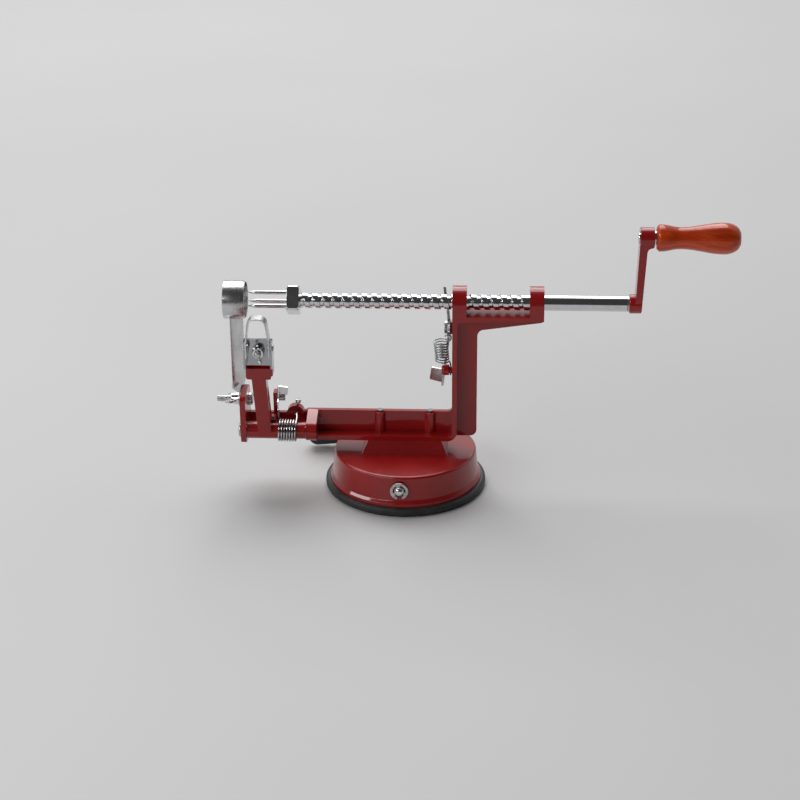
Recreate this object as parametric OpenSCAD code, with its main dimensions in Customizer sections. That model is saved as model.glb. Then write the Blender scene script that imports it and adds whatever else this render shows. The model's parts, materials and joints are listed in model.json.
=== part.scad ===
// Hand cranked apple peeler, slicer and corer on a suction base.
// Millimetres. The origin is the centre of the suction pad on the table,
// +X runs along the screw shaft towards the crank, +Z is up.

/* [Suction base] */
// Diameter of the rubber suction pad
pad_d = 100; // [94:1:110]
// Height of the pad's outer rim
pad_rim_h = 5; // [4:0.5:7]
// Thickness of the pad's membrane
membrane_t = 2.4; // [1.6:0.1:3]
// Width of the pad's rim that shows outside the housing flange
pad_lip = 3; // [1:0.5:4]
// Width of the flange round the housing's foot
flange_w = 1.5; // [1:0.25:3]
// Height of the housing's flat top above the table
base_h = 24; // [23:0.5:30]
// How much narrower the housing is at the top than at the foot, in radius
wall_draft = 1.5; // [0.5:0.25:4]
// Wall thickness of the housing
shell_t = 2.5; // [2:0.25:3.5]
// Height of the plinth between housing and frame
plinth_h = 8.4; // [6:0.2:14]
// Length of the plinth's top face
plinth_l = 45.4; // [44:0.2:60]
// Spread of the plinth's foot beyond its top, each side
plinth_spread = 4; // [2:0.25:8]

/* [Suction lever] */
// Diameter of the lever's cross shaft
cross_d = 6; // [5:0.25:7]
// Place of the cross shaft along X, from the middle of the pad
cross_x = -1.8; // [-3:0.1:0]
// Depth of the cross shaft's axis below the housing's top
cross_drop = 8.2; // [8:0.1:9]
// Offset of the cam from the cross shaft's axis
cam_offset = 1.75; // [1:0.25:1.75]
// Diameter of the suction stem
stem_d = 12.8; // [12.8:0.2:14]
// Length of the lever from the cross shaft's axis
lever_l = 60; // [50:1:75]
// Width of the lever
lever_w = 11; // [9:0.5:13]
// Thickness of the lever
lever_t = 3; // [2:0.25:4]
// Angle of the lever below level at rest
lever_tilt = 5; // [2:1:8]

/* [Frame] */
// Depth of the frame's flanges, front to back
frame_d = 20; // [18:0.5:26]
// Thickness of the frame's web
web_t = 3; // [2:0.25:5]
// Thickness of the beam's and column's flanges
flange_t = 3; // [2:0.25:4]
// Height of the beam
beam_h = 16.6; // [14:0.2:20]
// Left face of the column
column_x = 29.1; // [26:0.1:40]
// Width of the column
column_w = 15.1; // [12:0.1:20]
// Length of the bridge with both bearing blocks
bridge_l = 55; // [45:0.5:60]
// Thickness of each bearing block
block_t = 8.6; // [6:0.2:12]
// Height of the screw shaft's axis above the beam's underside
shaft_rise = 88.6; // [86:0.2:100]
// Height of the bridge's deck below the shaft's axis
bridge_drop = 6.2; // [5.5:0.1:8]
// Distance of each frame bolt from the middle of the base
bolt_x = 15.5; // [13:0.5:18]
// Diameter of the frame bolts
bolt_d = 4; // [3:0.5:5]
// Diameter of the round bosses that take the frame bolts
boss_d = 7.4; // [6.4:0.2:9]

/* [Arm bearing] */
// Right face of the lug that holds the arm's rod
lug_x = -54; // [-58:0.5:-50]
// Thickness of the lug
lug_t = 6.3; // [4:0.1:9]
// Length of the arm's sleeve
sleeve_l = 36; // [34:0.5:42]
// Thickness of the end plate
end_plate_t = 3.4; // [2.5:0.1:5]
// Distance of the rod in front of the frame's middle
rod_y = 14; // [13:0.5:18]
// Height of the rod above the beam's underside
rod_rise = 8.1; // [7.5:0.1:10]
// Diameter of the rod
rod_d = 6; // [5:0.25:7]
// Outer diameter of the sleeve
sleeve_d = 10.5; // [9.5:0.25:11.5]

/* [Peeling arm] */
// Height of the arm's head above the rod
head_rise = 42; // [38:0.5:50]
// How far the head stands in front of the rod
head_reach = 19; // [15:0.5:24]
// Width of the head
head_w = 16.3; // [15:0.1:20]
// Width of the arm's post
post_w = 8.25; // [6:0.25:10]
// Height of the blade bracket
bracket_h = 17; // [15:0.5:22]
// Depth of the blade bracket's side flanges
bracket_d = 7; // [6:0.25:9]
// Sheet thickness of the bracket
bracket_t = 1.2; // [0.8:0.1:1.6]
// Height of the blade's hoop above the bracket
hoop_h = 15.5; // [12:0.5:20]
// Width of the blade strip
blade_w = 6.8; // [5:0.2:8]
// Thickness of the blade strip
blade_t = 0.9; // [0.6:0.1:1.2]
// Wire diameter of the arm's spring
arm_wire_d = 1.2; // [0.9:0.05:1.2]
// Outer diameter of the arm's spring
arm_coil_d = 14.4; // [14.2:0.1:15]
// Number of turns of the arm's spring
arm_coils = 7; // [5:1:7]
// Spacing of the arm spring's turns
arm_pitch = 1.65; // [1.62:0.01:1.75]

/* [Screw shaft] */
// Diameter of the screw shaft
shaft_d = 9.5; // [8.5:0.1:10]
// Travel of the shaft for one turn of the crank
pitch = 6; // [5:0.25:7]
// Depth of the thread groove
thread_depth = 1; // [0.8:0.1:1.2]
// Width of the thread groove at the surface
groove_w = 2.7; // [2.5:0.1:3]
// Left end of the thread
thread_x = -63.5; // [-68:0.5:-58]
// Length of the threaded part
thread_l = 135.5; // [128:0.5:140]
// Length of the plain part up to the crank
plain_l = 62; // [50:0.5:75]
// Side of the square fork collar
collar_w = 15; // [14:0.25:15.5]
// Thickness of the fork collar
collar_t = 7.5; // [6:0.5:8.5]
// Length of the fork's prongs
prong_l = 24.5; // [18:0.5:26]
// Diameter of the fork's prongs
prong_d = 2.4; // [2:0.1:2.6]

/* [Crank] */
// Radius of the crank
crank_r = 41.9; // [35:0.1:60]
// Diameter of the crank's lower hub
crank_hub_d = 11.6; // [11:0.2:16]
// Diameter of the crank's handle hub
handle_hub_d = 12.6; // [11:0.2:16]
// Thickness of the crank's arm
crank_t = 3.6; // [3:0.2:6]
// Length of the handle grip
grip_l = 49.3; // [40:0.5:70]
// Largest diameter of the handle grip
grip_d = 18.8; // [17.2:0.2:24]
// Diameter of the handle's axle
axle_d = 5; // [4:0.25:6]

/* [Feed pawl] */
// Sheet thickness of the pawl
pawl_t = 1.5; // [1:0.1:2]
// Gap between the pawl and the column
pawl_gap = 1.6; // [1.2:0.1:3]
// How far the pawl's tooth stands to the left of its hub
pawl_lean = 1.8; // [1.4:0.1:2.2]
// Height of the pawl's pivot below the shaft's axis
pawl_drop = 18; // [16:0.5:19]
// Height of the spring peg below the pawl's pivot
peg_drop = 24.3; // [23:0.1:28]
// Diameter of the spring peg
peg_d = 6.6; // [6:0.2:7]
// Wire diameter of the pawl's spring
pawl_wire_d = 0.9; // [0.7:0.05:1]
// Outer diameter of the pawl's spring
pawl_coil_d = 9; // [8:0.1:9.2]
// Number of turns of the pawl's spring
pawl_coils = 8; // [6:1:8]

/* [Slicer] */
// Height of the slicer's clamping bolt above the beam's underside
slicer_rise = 22.9; // [21:0.1:24]
// Diameter of the clamping bolts
clamp_d = 4; // [3:0.25:5]
// Inner diameter of the coring ring
ring_d = 21.5; // [20:0.25:25]
// Length of the coring ring
ring_l = 13; // [9:0.5:13]
// Sheet thickness of the slicer
slicer_t = 1.5; // [1:0.1:2]
// Width of the slicer's strip
slicer_w = 16; // [13:0.5:18]
// How far the strip is set out from the end plate above its clamp
slicer_jog = 2; // [1.8:0.1:3]
// Angle of the slicing edge, which follows the thread
slicer_twist = 20; // [10:1:20]

/* [Clearances] */
// Running clearance of shafts and pins, in radius
run_fit = 0.05; // [0.02:0.01:0.1]
// Clearance between pieces that are bolted together
seat_fit = 0.1; // [0.05:0.05:0.2]
// Clearance between faces that move past each other
side_gap = 0.3; // [0.2:0.05:0.5]

/* [Hidden] */
$fn = 64;

enamel = [0.48, 0.10, 0.11];
chrome = [0.80, 0.81, 0.83];
steel = [0.62, 0.63, 0.65];
rubber = [0.13, 0.14, 0.13];
plastic = [0.10, 0.10, 0.11];
varnish = [0.62, 0.25, 0.09];

// Housing
pad_r = pad_d / 2;
flange_r = pad_r - pad_lip;
wall_foot_r = flange_r - flange_w;
wall_top_r = wall_foot_r - wall_draft;
roof_z = base_h - shell_t;
pad_seat_w = 4;
pad_slope_w = 3;
beam_z = base_h + plinth_h;
plinth_w = frame_d;
bolt_head_h = 3;
bolt_head_r = bolt_d;

// Suction lever and stem
cross_r = cross_d / 2;
cross_z = base_h - cross_drop;
stem_r = stem_d / 2;
stem_lift = 2 * cam_offset;
cam_play = 0.3 * cam_offset;
pocket_z = base_h + 3.2;
stem_top = pocket_z - stem_lift - 0.7;
cam_half_l = stem_r + 1.6;
cam_web_t = 2;
cam_rim = 0.4;
cam_room_l = cam_half_l + cam_web_t + side_gap;
stem_disc_w = 11;
stem_disc_t = 2;
clip_y = -wall_foot_r - 0.5;
clip_t = 0.8;
clip_groove_r = cross_r - 0.7;
lever_y = wall_foot_r + 1.7;
grip_len = 22;

// Frame
web_half = web_t / 2;
half_d = frame_d / 2;
beam_top = beam_z + beam_h;
column_x1 = column_x + column_w;
bridge_x1 = column_x + bridge_l;
shaft_z = beam_z + shaft_rise;
deck_z = shaft_z - bridge_drop;
deck_t = 3.6;
deck_end_t = 2.4;
rib_h = 11.8;
rib_end_h = 6.2;
block_r = half_d;
bore_r = shaft_d / 2 + run_fit;
column_z = beam_z + 0.4;
boss_drop = 0.8;

// Rod, lug, sleeve and end plate
rod_z = beam_z + rod_rise;
rod_r = rod_d / 2;
lug_x0 = lug_x - lug_t;
sleeve_x1 = lug_x0 - side_gap;
sleeve_x = sleeve_x1 - sleeve_l;
plate_x1 = sleeve_x - side_gap;
plate_x0 = plate_x1 - end_plate_t;
sleeve_r = sleeve_d / 2;
lug_r = 6;
slicer_z = beam_z + slicer_rise;
plate_front = rod_y + 6;
plate_top = slicer_z + 9.2;
plate_back = 5.5;

// Spring hump and catch post of the frame
arm_spring_l = arm_coils * arm_pitch;
coil_x1 = sleeve_x1 - 5.5;
coil_x0 = coil_x1 - arm_spring_l;
arm_coil_r = (arm_coil_d - arm_wire_d) / 2;
arm_leg_h = 12;
hump_r = 5.5;
hump_half = 2.5;
leg_x = coil_x1 - 0.6;
hump_x = leg_x - 1.4;
hump_z = beam_top - 2.6;
leg_z = hump_z + 2.6;
catch_post_x = coil_x0 - 3.6;
catch_post_w = 2.4;
catch_z = beam_top + 8.5;
catch_y = -2;

// Peeling arm
post_x = sleeve_x + 7;
head_x = post_x + post_w / 2 - 0.2;
head_z = rod_z + head_rise;
head_front = -rod_y - head_reach;
head_step = 3;
head_h = 7;
head_back = head_front + 8;
bracket_back = head_front + head_step;
bracket_z = head_z + head_h + 1.5;
bracket_half = head_w / 2 + 0.4;
bracket_bolt_z = bracket_z + bracket_h * 0.55;
bracket_play = 1.5;
blade_front = bracket_back - bracket_d - 1.6;
hoop_half = bracket_half - bracket_t;

// Screw shaft and crank
shaft_r = shaft_d / 2;
root_r = shaft_r - thread_depth;
thread_x1 = thread_x + thread_l;
washer_t = 0.8;
shoulder_x = thread_x1 + plain_l;
crank_x = shoulder_x + washer_t + 0.2;
spigot_r = shaft_r - 1.15;
key_r = spigot_r - 0.7;
collar_spigot_r = collar_w / 2 - 4.5;
handle_z = shaft_z + crank_r;
crank_lean = 2.1;
hub_l = 3.6;
crank_x1 = crank_x + hub_l + crank_t;
handle_hub_x = crank_x + hub_l + 1.3;
handle_hub_x1 = handle_hub_x + crank_t + 4.7;
axle_r = axle_d / 2;
handle_washer_t = 1;
grip_x = handle_hub_x1 + handle_washer_t + 0.2;
grip_sink = 6;

// Pawl
pawl_x = column_x - pawl_gap - pawl_t;
tooth_x = pawl_x + pawl_t / 2 - pawl_lean;
pawl_y = 4;
pawl_z = shaft_z - pawl_drop;
pivot_r = 2;
hook_y = -5.5;
hook_rim = 2.6;
hook_z = pawl_z - 1.5;
peg_z = pawl_z - peg_drop;
tab_z = peg_z - 13.3;
tail_lean = 0.12;
tab_tilt = 15;
neck_l = 1.8;
neck_r = peg_d / 2 - 1.1;
pawl_coil_r = (pawl_coil_d - pawl_wire_d) / 2;

// Slicer
ring_r = ring_d / 2;
ring_t = 1;
ring_x = plate_x0 - 2.7;
clamp_r = clamp_d / 2;
slicer_x = plate_x0 - slicer_t;
washer_r = 5;
nut_hub_l = 5;

// Unit vector along v
function unit(v) = v / norm(v);

// Points of the arc that rounds corner p, with its neighbours in directions u and v
function fillet(p, u, v, r, n) =
    let (half = acos(u * v) / 2,
        centre = p + unit(u + v) * r / sin(half),
        from = p + u * r / tan(half) - centre,
        to = p + v * r / tan(half) - centre,
        a0 = atan2(from.y, from.x),
        turn = (atan2(to.y, to.x) - a0 + 540) % 360 - 180)
    [for (k = [0:n]) centre + r * [cos(a0 + turn * k / n), sin(a0 + turn * k / n)]];

// Outline through corners [x, y, r], each rounded with its own radius
function rounded(c, n = 6) = let (m = len(c)) [for (i = [0:m - 1])
    let (p = [c[i].x, c[i].y],
        a = [c[(i + m - 1) % m].x, c[(i + m - 1) % m].y],
        b = [c[(i + 1) % m].x, c[(i + 1) % m].y])
    each c[i].z == 0 ? [p] : fillet(p, unit(a - p), unit(b - p), c[i].z, n)];

// Slow at both ends, from a to b as t goes from 0 to 1
function ease(a, b, t) = a + (b - a) * (1 - cos(180 * t)) / 2;

// Extrudes an outline in the YZ plane from x0 over length l
module plate_x(x0, l) translate([x0, 0, 0]) rotate([90, 0, 90]) linear_extrude(l) children();

// Extrudes an outline in the XZ plane from y0 over length l
module plate_y(y0, l) translate([0, y0 + l, 0]) rotate([90, 0, 0]) linear_extrude(l) children();

// Round bars along X, Y and Z
module bar_x(x0, l, r, y = 0, z = 0) translate([x0, y, z]) rotate([0, 90, 0]) cylinder(r = r, h = l);
module bar_y(y0, l, r, x = 0, z = 0) translate([x, y0 + l, z]) rotate([90, 0, 0]) cylinder(r = r, h = l);
module bar_z(z0, l, r, x = 0, y = 0) translate([x, y, z0]) cylinder(r = r, h = l);

// Solid of revolution along X from points [x, r]
module turned_x(points) rotate([0, 90, 0]) rotate_extrude() polygon([for (p = points) [p.y, p.x]]);

// Path tangents, taken between neighbouring points
function tangents(path) = let (m = len(path)) [for (i = [0:m - 1])
    unit(path[min(i + 1, m - 1)] - path[max(i - 1, 0)])];

// Part of v that is square to t
function square_to(v, t) = unit(v - (v * t) * t);

// Normals carried along the path without twist
function normals(t, first) = let (m = len(t))
    [for (i = 0, n = square_to(first, t[0]); i < m;
        i = i + 1, n = square_to(n, t[min(i, m - 1)])) n];

// Tube of wire along a path, with six sides
module wire(path, d, first) {
    sides = 6;
    t = tangents(path);
    n = normals(t, first);
    m = len(path);
    points = [for (i = [0:m - 1]) for (s = [0:sides - 1])
        path[i] + d / 2 * (cos(60 * s) * n[i] + sin(60 * s) * cross(t[i], n[i]))];
    skin = [for (i = [0:m - 2]) for (s = [0:sides - 1])
        let (a = i * sides + s, b = i * sides + (s + 1) % sides)
        each [[a, a + sides, b], [b, a + sides, b + sides]]];
    ends = [for (s = [1:sides - 2]) each
        [[0, s, s + 1], [(m - 1) * sides, (m - 1) * sides + s + 1, (m - 1) * sides + s]]];
    polyhedron(points, concat(skin, ends));
}

// Flat bar of thickness t and half width h that goes up Z through places [z, turn, shift], one closed skin
module twisted_bar(t, h, places) {
    m = len(places);
    e = 4 * (m - 1);
    points = [for (p = places) for (c = [[t / 2, h], [-t / 2, h], [-t / 2, -h], [t / 2, -h]])
        [c.x * cos(p.y) - c.y * sin(p.y) + p.z, c.x * sin(p.y) + c.y * cos(p.y), p.x]];
    skin = [for (i = [0:m - 2]) for (s = [0:3]) let (a = i * 4 + s, b = i * 4 + (s + 1) % 4)
        each [[a, a + 4, b], [b, a + 4, b + 4]]];
    polyhedron(points, concat(skin, [[0, 1, 2], [0, 2, 3], [e, e + 2, e + 1], [e, e + 3, e + 2]]));
}

// Least gap of a wire to itself, on points at least half a turn apart
function self_gap(path, d, apart = 5) =
    min([for (i = [0:len(path) - 1]) for (j = [i + apart:1:len(path) - 1]) norm(path[i] - path[j])]) - d;

// Base

module base_housing() color(enamel) difference() {
    union() {
        rotate_extrude() polygon(rounded([[0, base_h, 0], [wall_top_r, base_h, 1.6],
            [wall_foot_r, pad_rim_h + 4, 2], [flange_r, pad_rim_h + 2, 0.6], [flange_r, pad_rim_h, 0],
            [wall_foot_r - shell_t, pad_rim_h, 0], [wall_top_r - shell_t, roof_z, 2], [0, roof_z, 0]]));
        plinth();
        bar_z(cross_z + 3.4, roof_z - cross_z - 3.3, stem_r + 1.4, cross_x);
        for (side = [-1, 1])
            bar_y(side * (wall_foot_r - 6) - 3.5, 7, cross_r + 2.4, cross_x, cross_z);
    }
    bar_y(-pad_r, pad_d, cross_r + run_fit, cross_x, cross_z);
    bar_y(-cam_room_l, 2 * cam_room_l, cross_r + cam_offset + cam_rim + side_gap, cross_x, cross_z);
    bar_z(0, pocket_z, stem_r + run_fit, cross_x);
    for (side = [-1, 1])
        bar_z(0, beam_z + 1, bolt_d / 2 + seat_fit, side * bolt_x);
}

// Wedge with sloping sides between the housing's top and the frame
module plinth() {
    half_l = plinth_l / 2;
    half_w = plinth_w / 2;
    intersection() {
        plate_y(-pad_r, pad_d) polygon([[-half_l - plinth_spread, base_h - 0.5],
            [half_l + plinth_spread, base_h - 0.5], [half_l, beam_z], [-half_l, beam_z]]);
        plate_x(-pad_r, pad_d) polygon([[-half_w - plinth_spread, base_h - 0.5],
            [half_w + plinth_spread, base_h - 0.5], [half_w, beam_z], [-half_w, beam_z]]);
    }
}

module suction_pad() color(rubber) rotate_extrude() polygon(rounded([[0, 0, 0],
    [pad_r - 0.8, 0, 0.8], [pad_r, 1.6, 0.5], [pad_r, pad_rim_h - 1, 1], [pad_r - 1.6, pad_rim_h, 0.6],
    [wall_foot_r - shell_t - pad_seat_w, pad_rim_h, 0],
    [wall_foot_r - shell_t - pad_seat_w - pad_slope_w, membrane_t, 0],
    [0, membrane_t, 0]]));

module suction_stem() color(steel) translate([cross_x, 0, 0]) difference() {
    union() {
        bar_z(membrane_t, stem_disc_t, stem_r + stem_disc_w);
        bar_z(membrane_t, stem_top - membrane_t, stem_r);
    }
    plate_y(-stem_d, 2 * stem_d) translate([0, cross_z - cam_offset])
        square([2 * (cross_r + cam_offset + side_gap), 2 * (cross_r + cam_play)], center = true);
}

module lever_shaft() color(chrome) translate([cross_x, 0, 0]) {
    front = -clip_y + 3.2;
    difference() {
        union() {
            translate([0, 0, cross_z]) rotate([90, 0, 0]) rotate_extrude()
                polygon(rounded([[0, cam_half_l, 0], [cross_r, cam_half_l, 0],
                    [cross_r, front, cross_r * 0.8], [0, front, 0]]));
            bar_y(cam_half_l, lever_y - cam_half_l, cross_r, 0, cross_z);
        }
        plate_y(clip_y - clip_t - 0.1, clip_t + 0.2) translate([0, cross_z]) difference() {
            circle(cross_r + 1);
            circle(clip_groove_r);
        }
    }
    bar_y(-cam_half_l - 0.5, 2 * cam_half_l + 1, cross_r, 0, cross_z - cam_offset);
    for (y = [-cam_half_l - cam_web_t, cam_half_l])
        bar_y(y, cam_web_t, cross_r + cam_offset / 2 + cam_rim, 0, cross_z - cam_offset / 2);
    bar_y(lever_y - 1, lever_t + 1 + seat_fit, cross_r - 0.5, 0, cross_z);
    bar_y(lever_y + lever_t + seat_fit, 1.5, cross_r + 1, 0, cross_z);
}

// Outline of an open spring clip round a groove of radius r
module clip_outline(r) {
    difference() {
        circle(r + 3.2);
        circle(r + 1.6);
        polygon([[0, 0], [-r - 0.6, -2 * r - 6], [r + 2, -2 * r - 6]]);
    }
    intersection() {
        difference() {
            circle(r + 2);
            circle(r + run_fit);
        }
        for (a = [100, 215, 335])
            rotate(a) translate([r, -0.9]) square([3, 1.8]);
    }
}

module shaft_clip() color(steel)
    plate_y(clip_y - clip_t, clip_t) translate([cross_x, cross_z]) clip_outline(clip_groove_r);

// The lever's bar, grown by gap all round
module lever_bar(gap) translate([cross_x, cross_z]) rotate(lever_tilt)
    translate([-lever_l - gap, -lever_w / 2 - gap]) square([lever_l + gap, lever_w + 2 * gap]);

module suction_lever() color(steel) plate_y(lever_y, lever_t) difference() {
    union() {
        lever_bar(0);
        translate([cross_x, cross_z]) circle(lever_w * 0.75);
    }
    translate([cross_x, cross_z]) circle(cross_r - 0.5 + run_fit);
}

module lever_grip() color(plastic) difference() {
    plate_y(lever_y - 2.5, lever_t + 5) translate([cross_x, cross_z]) rotate(lever_tilt)
        polygon(rounded([[-lever_l - 4, -lever_w / 2 - 2.5, 6], [-lever_l - 4 + grip_len, -lever_w / 2 - 2.5, 2],
            [-lever_l - 4 + grip_len, lever_w / 2 + 2.5, 2], [-lever_l - 4, lever_w / 2 + 2.5, 6]]));
    plate_y(lever_y - seat_fit, lever_t + 2 * seat_fit) lever_bar(seat_fit);
}

// Frame

module main_frame() color(enamel) difference() {
    union() {
        frame_beam();
        frame_column();
        frame_left_end();
        for (side = [-1, 1])
            bar_z(beam_z + 1, beam_h - 1 - boss_drop, boss_d / 2, side * bolt_x);
        bar_x(column_x - pawl_gap + seat_fit, pawl_gap + 1, 4.5, pawl_y, pawl_z);
        spring_peg();
    }
    for (side = [-1, 1])
        bar_z(0, shaft_z / 2 + beam_top / 2, bolt_d / 2 + seat_fit, side * bolt_x);
    bar_x(column_x - pawl_gap, column_w + pawl_gap, bore_r, 0, shaft_z);
    bar_x(column_x, bridge_l + 1, bore_r, 0, shaft_z);
    bar_x(pawl_x, pawl_gap + pawl_t + flange_t + 1, pivot_r + seat_fit, pawl_y, pawl_z);
    bar_x(plate_x0 - 1, lug_x - plate_x0 + 2, rod_r + run_fit, -rod_y, rod_z);
    bar_x(plate_x0 - 1, end_plate_t + 2, clamp_r + seat_fit, 0, slicer_z);
    bar_y(-hump_half - 1, 5, arm_wire_d / 2 + 0.2, leg_x, leg_z);
    leg_screw_place() cylinder(r = 1 + seat_fit, h = 20);
    bar_x(catch_post_x - 1, catch_post_w + 2, 1.2 + seat_fit, catch_y, catch_z);
}

module frame_beam() {
    plate_y(-half_d, frame_d) polygon(rounded([[lug_x0, beam_z, 0], [column_x + flange_t, beam_z, 6],
        [column_x + flange_t, beam_top + 6, 0], [column_x, beam_top + 6, 0],
        [column_x, beam_z + flange_t, 3], [lug_x0, beam_z + flange_t, 0]]));
    plate_y(-web_half, web_t) polygon(rounded([[plate_x1 - 1, beam_z + 1, 0],
        [column_x + 1, beam_z + 1, 0], [column_x + 1, beam_top + 5, 0], [column_x, beam_top + 5, 0],
        [column_x, beam_top, 3], [lug_x0, beam_top, 4], [lug_x0 - 4, beam_top - 2, 4],
        [plate_x1 - 1, beam_top - 2, 0]]));
}

// Column and bridge: a web with a flange along its left side and under the deck, and the bearing blocks
module frame_column() {
    plate_y(-web_half, web_t) polygon(rounded([[column_x + 0.5, column_z, 0], [column_x1, column_z, 4],
        [column_x1, deck_z - rib_h, 4], [bridge_x1 - 0.5, deck_z - rib_end_h, 1], [bridge_x1 - 0.5, deck_z - 1, 0],
        [column_x + 0.5, deck_z - 1, 0]]));
    plate_y(-half_d, frame_d) polygon(rounded([[column_x, beam_top, 0], [column_x + flange_t, beam_top, 0],
        [column_x + flange_t, deck_z - deck_t, 1.5], [bridge_x1, deck_z - deck_end_t, 0], [bridge_x1, deck_z, 0],
        [column_x, deck_z, 0]]));
    for (x = [column_x, bridge_x1 - block_t])
        plate_x(x, block_t) {
            translate([0, shaft_z]) circle(block_r);
            translate([-half_d, deck_z - deck_end_t]) square([frame_d, bridge_drop + deck_end_t]);
        }
}

// Lug, end plate, spring hump and catch post
module frame_left_end() {
    plate_x(lug_x0, lug_t) {
        translate([-rod_y, rod_z]) circle(lug_r);
        polygon([[-rod_y, rod_z - lug_r], [web_half, beam_z], [web_half, beam_top], [-2, beam_top],
            [-rod_y, rod_z + lug_r]]);
    }
    plate_x(plate_x0, end_plate_t) polygon(rounded([[-plate_front, beam_z + 1, 4],
        [-plate_front, plate_top, 3], [plate_back, plate_top, plate_back], [plate_back, beam_z + 3, 4],
        [2, beam_z, 3]]));
    translate([plate_x1 - 1, web_half - 3, beam_z]) cube([lug_x0 - plate_x1 + 2, half_d - web_half + 3, flange_t]);
    bar_y(-hump_half, 2 * hump_half, hump_r, hump_x, hump_z);
    translate([catch_post_x, catch_y - 3, beam_top - 4])
        cube([catch_post_w, web_half - catch_y + 3, catch_z + 4 - beam_top + 4]);
}

// Rounded peg that holds the lower end of the pawl's spring
module spring_peg() translate([column_x + 1, hook_y, peg_z]) rotate([0, -90, 0]) rotate_extrude()
    polygon(rounded([[0, 0, 0], [neck_r, 0, 0], [neck_r, 1 + neck_l, 0], [peg_d / 2, 1 + neck_l, 0.6],
        [peg_d / 2, 7.6, 1.8], [0, 7.6, 0]]));

module frame_bolts() color(steel) for (side = [-1, 1]) translate([side * bolt_x, 0, 0]) {
    translate([0, 0, roof_z - bolt_head_h]) cylinder(r = bolt_head_r, h = bolt_head_h, $fn = 6);
    bar_z(roof_z - 0.1, beam_top + 0.4 - roof_z, bolt_d / 2);
}

// Screw shaft with its fork and crank

// Round bar along X with a right-hand groove that fades out at both ends
module thread_bar(x0, x1, groove_x) {
    sides = 16;
    flank = 0.3;
    fade = sides * 0.75;
    starts = floor((groove_x - groove_w / 2 - x0 - 0.5) / pitch);
    first_x = groove_x - groove_w / 2 - starts * pitch;
    steps = floor((x1 - 0.5 - groove_w - first_x) / pitch * sides);
    offsets = [0, flank, groove_w - flank, groove_w];
    function at(x, r, k) = [x, r * cos(360 * k / sides), r * sin(360 * k / sides)];
    function floor_r(k) = shaft_r - thread_depth * min(1, k / fade, (steps - k) / fade);
    groove = [for (k = [0:steps]) for (j = [0:3])
        at(first_x + pitch * k / sides + offsets[j], j % 3 == 0 ? shaft_r : floor_r(k), k)];
    left = [for (k = [0:sides - 1]) at(x0, shaft_r, k)];
    right = [for (k = [0:sides - 1]) at(x1, shaft_r, k)];
    function g(k, j) = 4 * k + j;
    function l(k) = 4 * (steps + 1) + k % sides;
    function r(k) = 4 * (steps + 1) + sides + k % sides;
    function quad(a, b, c, d) = [[a, b, c], [a, c, d]];
    function fan(hub, rim) = [for (i = [0:len(rim) - 2]) [hub, rim[i], rim[i + 1]]];
    walls = [for (k = [0:steps - 1]) for (j = [0:2])
        each quad(g(k, j), g(k, j + 1), g(k + 1, j + 1), g(k + 1, j))];
    crests = [for (k = [0:steps - sides - 1])
        each quad(g(k, 3), g(k + sides, 0), g(k + 1 + sides, 0), g(k + 1, 3))];
    left_end = concat([for (k = [0:sides - 2]) each quad(l(k), g(k, 0), g(k + 1, 0), l(k + 1))],
        fan(l(sides - 1), [g(sides - 1, 0), g(sides, 0), g(0, 3), g(0, 2), g(0, 1), g(0, 0), l(0)]));
    last = steps - sides;
    right_end = concat([for (k = [last + 1:steps - 1]) each quad(g(k, 3), r(k), r(k + 1), g(k + 1, 3))],
        fan(g(last + 1, 3), [g(last, 3), g(steps, 0), g(steps, 1), g(steps, 2), g(steps, 3),
            r(steps), r(last + 1)]));
    caps = concat(fan(l(0), [for (k = [1:sides - 1]) l(k)]),
        fan(r(0), [for (k = [sides - 1:-1:1]) r(k)]));
    polyhedron(concat(groove, left, right), concat(walls, crests, left_end, right_end, caps));
}

module feed_shaft() color(chrome) translate([0, 0, shaft_z]) {
    thread_bar(thread_x, thread_x1, tooth_x);
    bar_x(thread_x - collar_t, collar_t + 0.5, collar_spigot_r);
    shaft_end();
}

// Plain end of the shaft, with the keyed spigot and the hole for the crank's screw
module shaft_end() difference() {
    union() {
        bar_x(thread_x1, plain_l, shaft_r);
        bar_x(shoulder_x - 1, crank_x1 - 2.5 - shoulder_x + 1, spigot_r);
    }
    translate([crank_x, -spigot_r - 1, key_r]) cube([20, 2 * spigot_r + 2, spigot_r]);
    bar_x(crank_x1 - 10, 20, 2);
}

// Outline of the crank's keyed hole
module key_outline(gap) difference() {
    circle(spigot_r + gap);
    translate([-spigot_r - 1, key_r + gap]) square([2 * spigot_r + 2, spigot_r]);
}

module fork_collar() color(chrome) difference() {
    translate([thread_x - collar_t, 0, shaft_z]) rotate([56, 0, 0]) intersection() {
        translate([0, -collar_w / 2, -collar_w / 2]) cube([collar_t, collar_w, collar_w]);
        turned_x([[0, 0], [0, collar_w * 0.62], [1, collar_w * 0.67], [collar_t - 1, collar_w * 0.67],
            [collar_t, collar_w * 0.62], [collar_t, 0]]);
    }
    bar_x(thread_x - collar_t - 1, collar_t + 2, collar_spigot_r + run_fit, 0, shaft_z);
    prong_places() bar_x(-1, 4 + 1, prong_d / 2 + run_fit);
}

// Three places round the shaft at the collar's face
module prong_places() for (a = [90, 210, 330])
    translate([thread_x - collar_t, 0, shaft_z]) rotate([a, 0, 0])
        translate([0, collar_spigot_r + prong_d / 2 + 0.6, 0]) children();

module fork_prongs() color(chrome) {
    r = prong_d / 2;
    prong_places() turned_x([[-prong_l, 0], [-prong_l, 0.15], [-prong_l + 5, r], [4 - run_fit, r],
        [4 - run_fit, 0]]);
}

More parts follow.
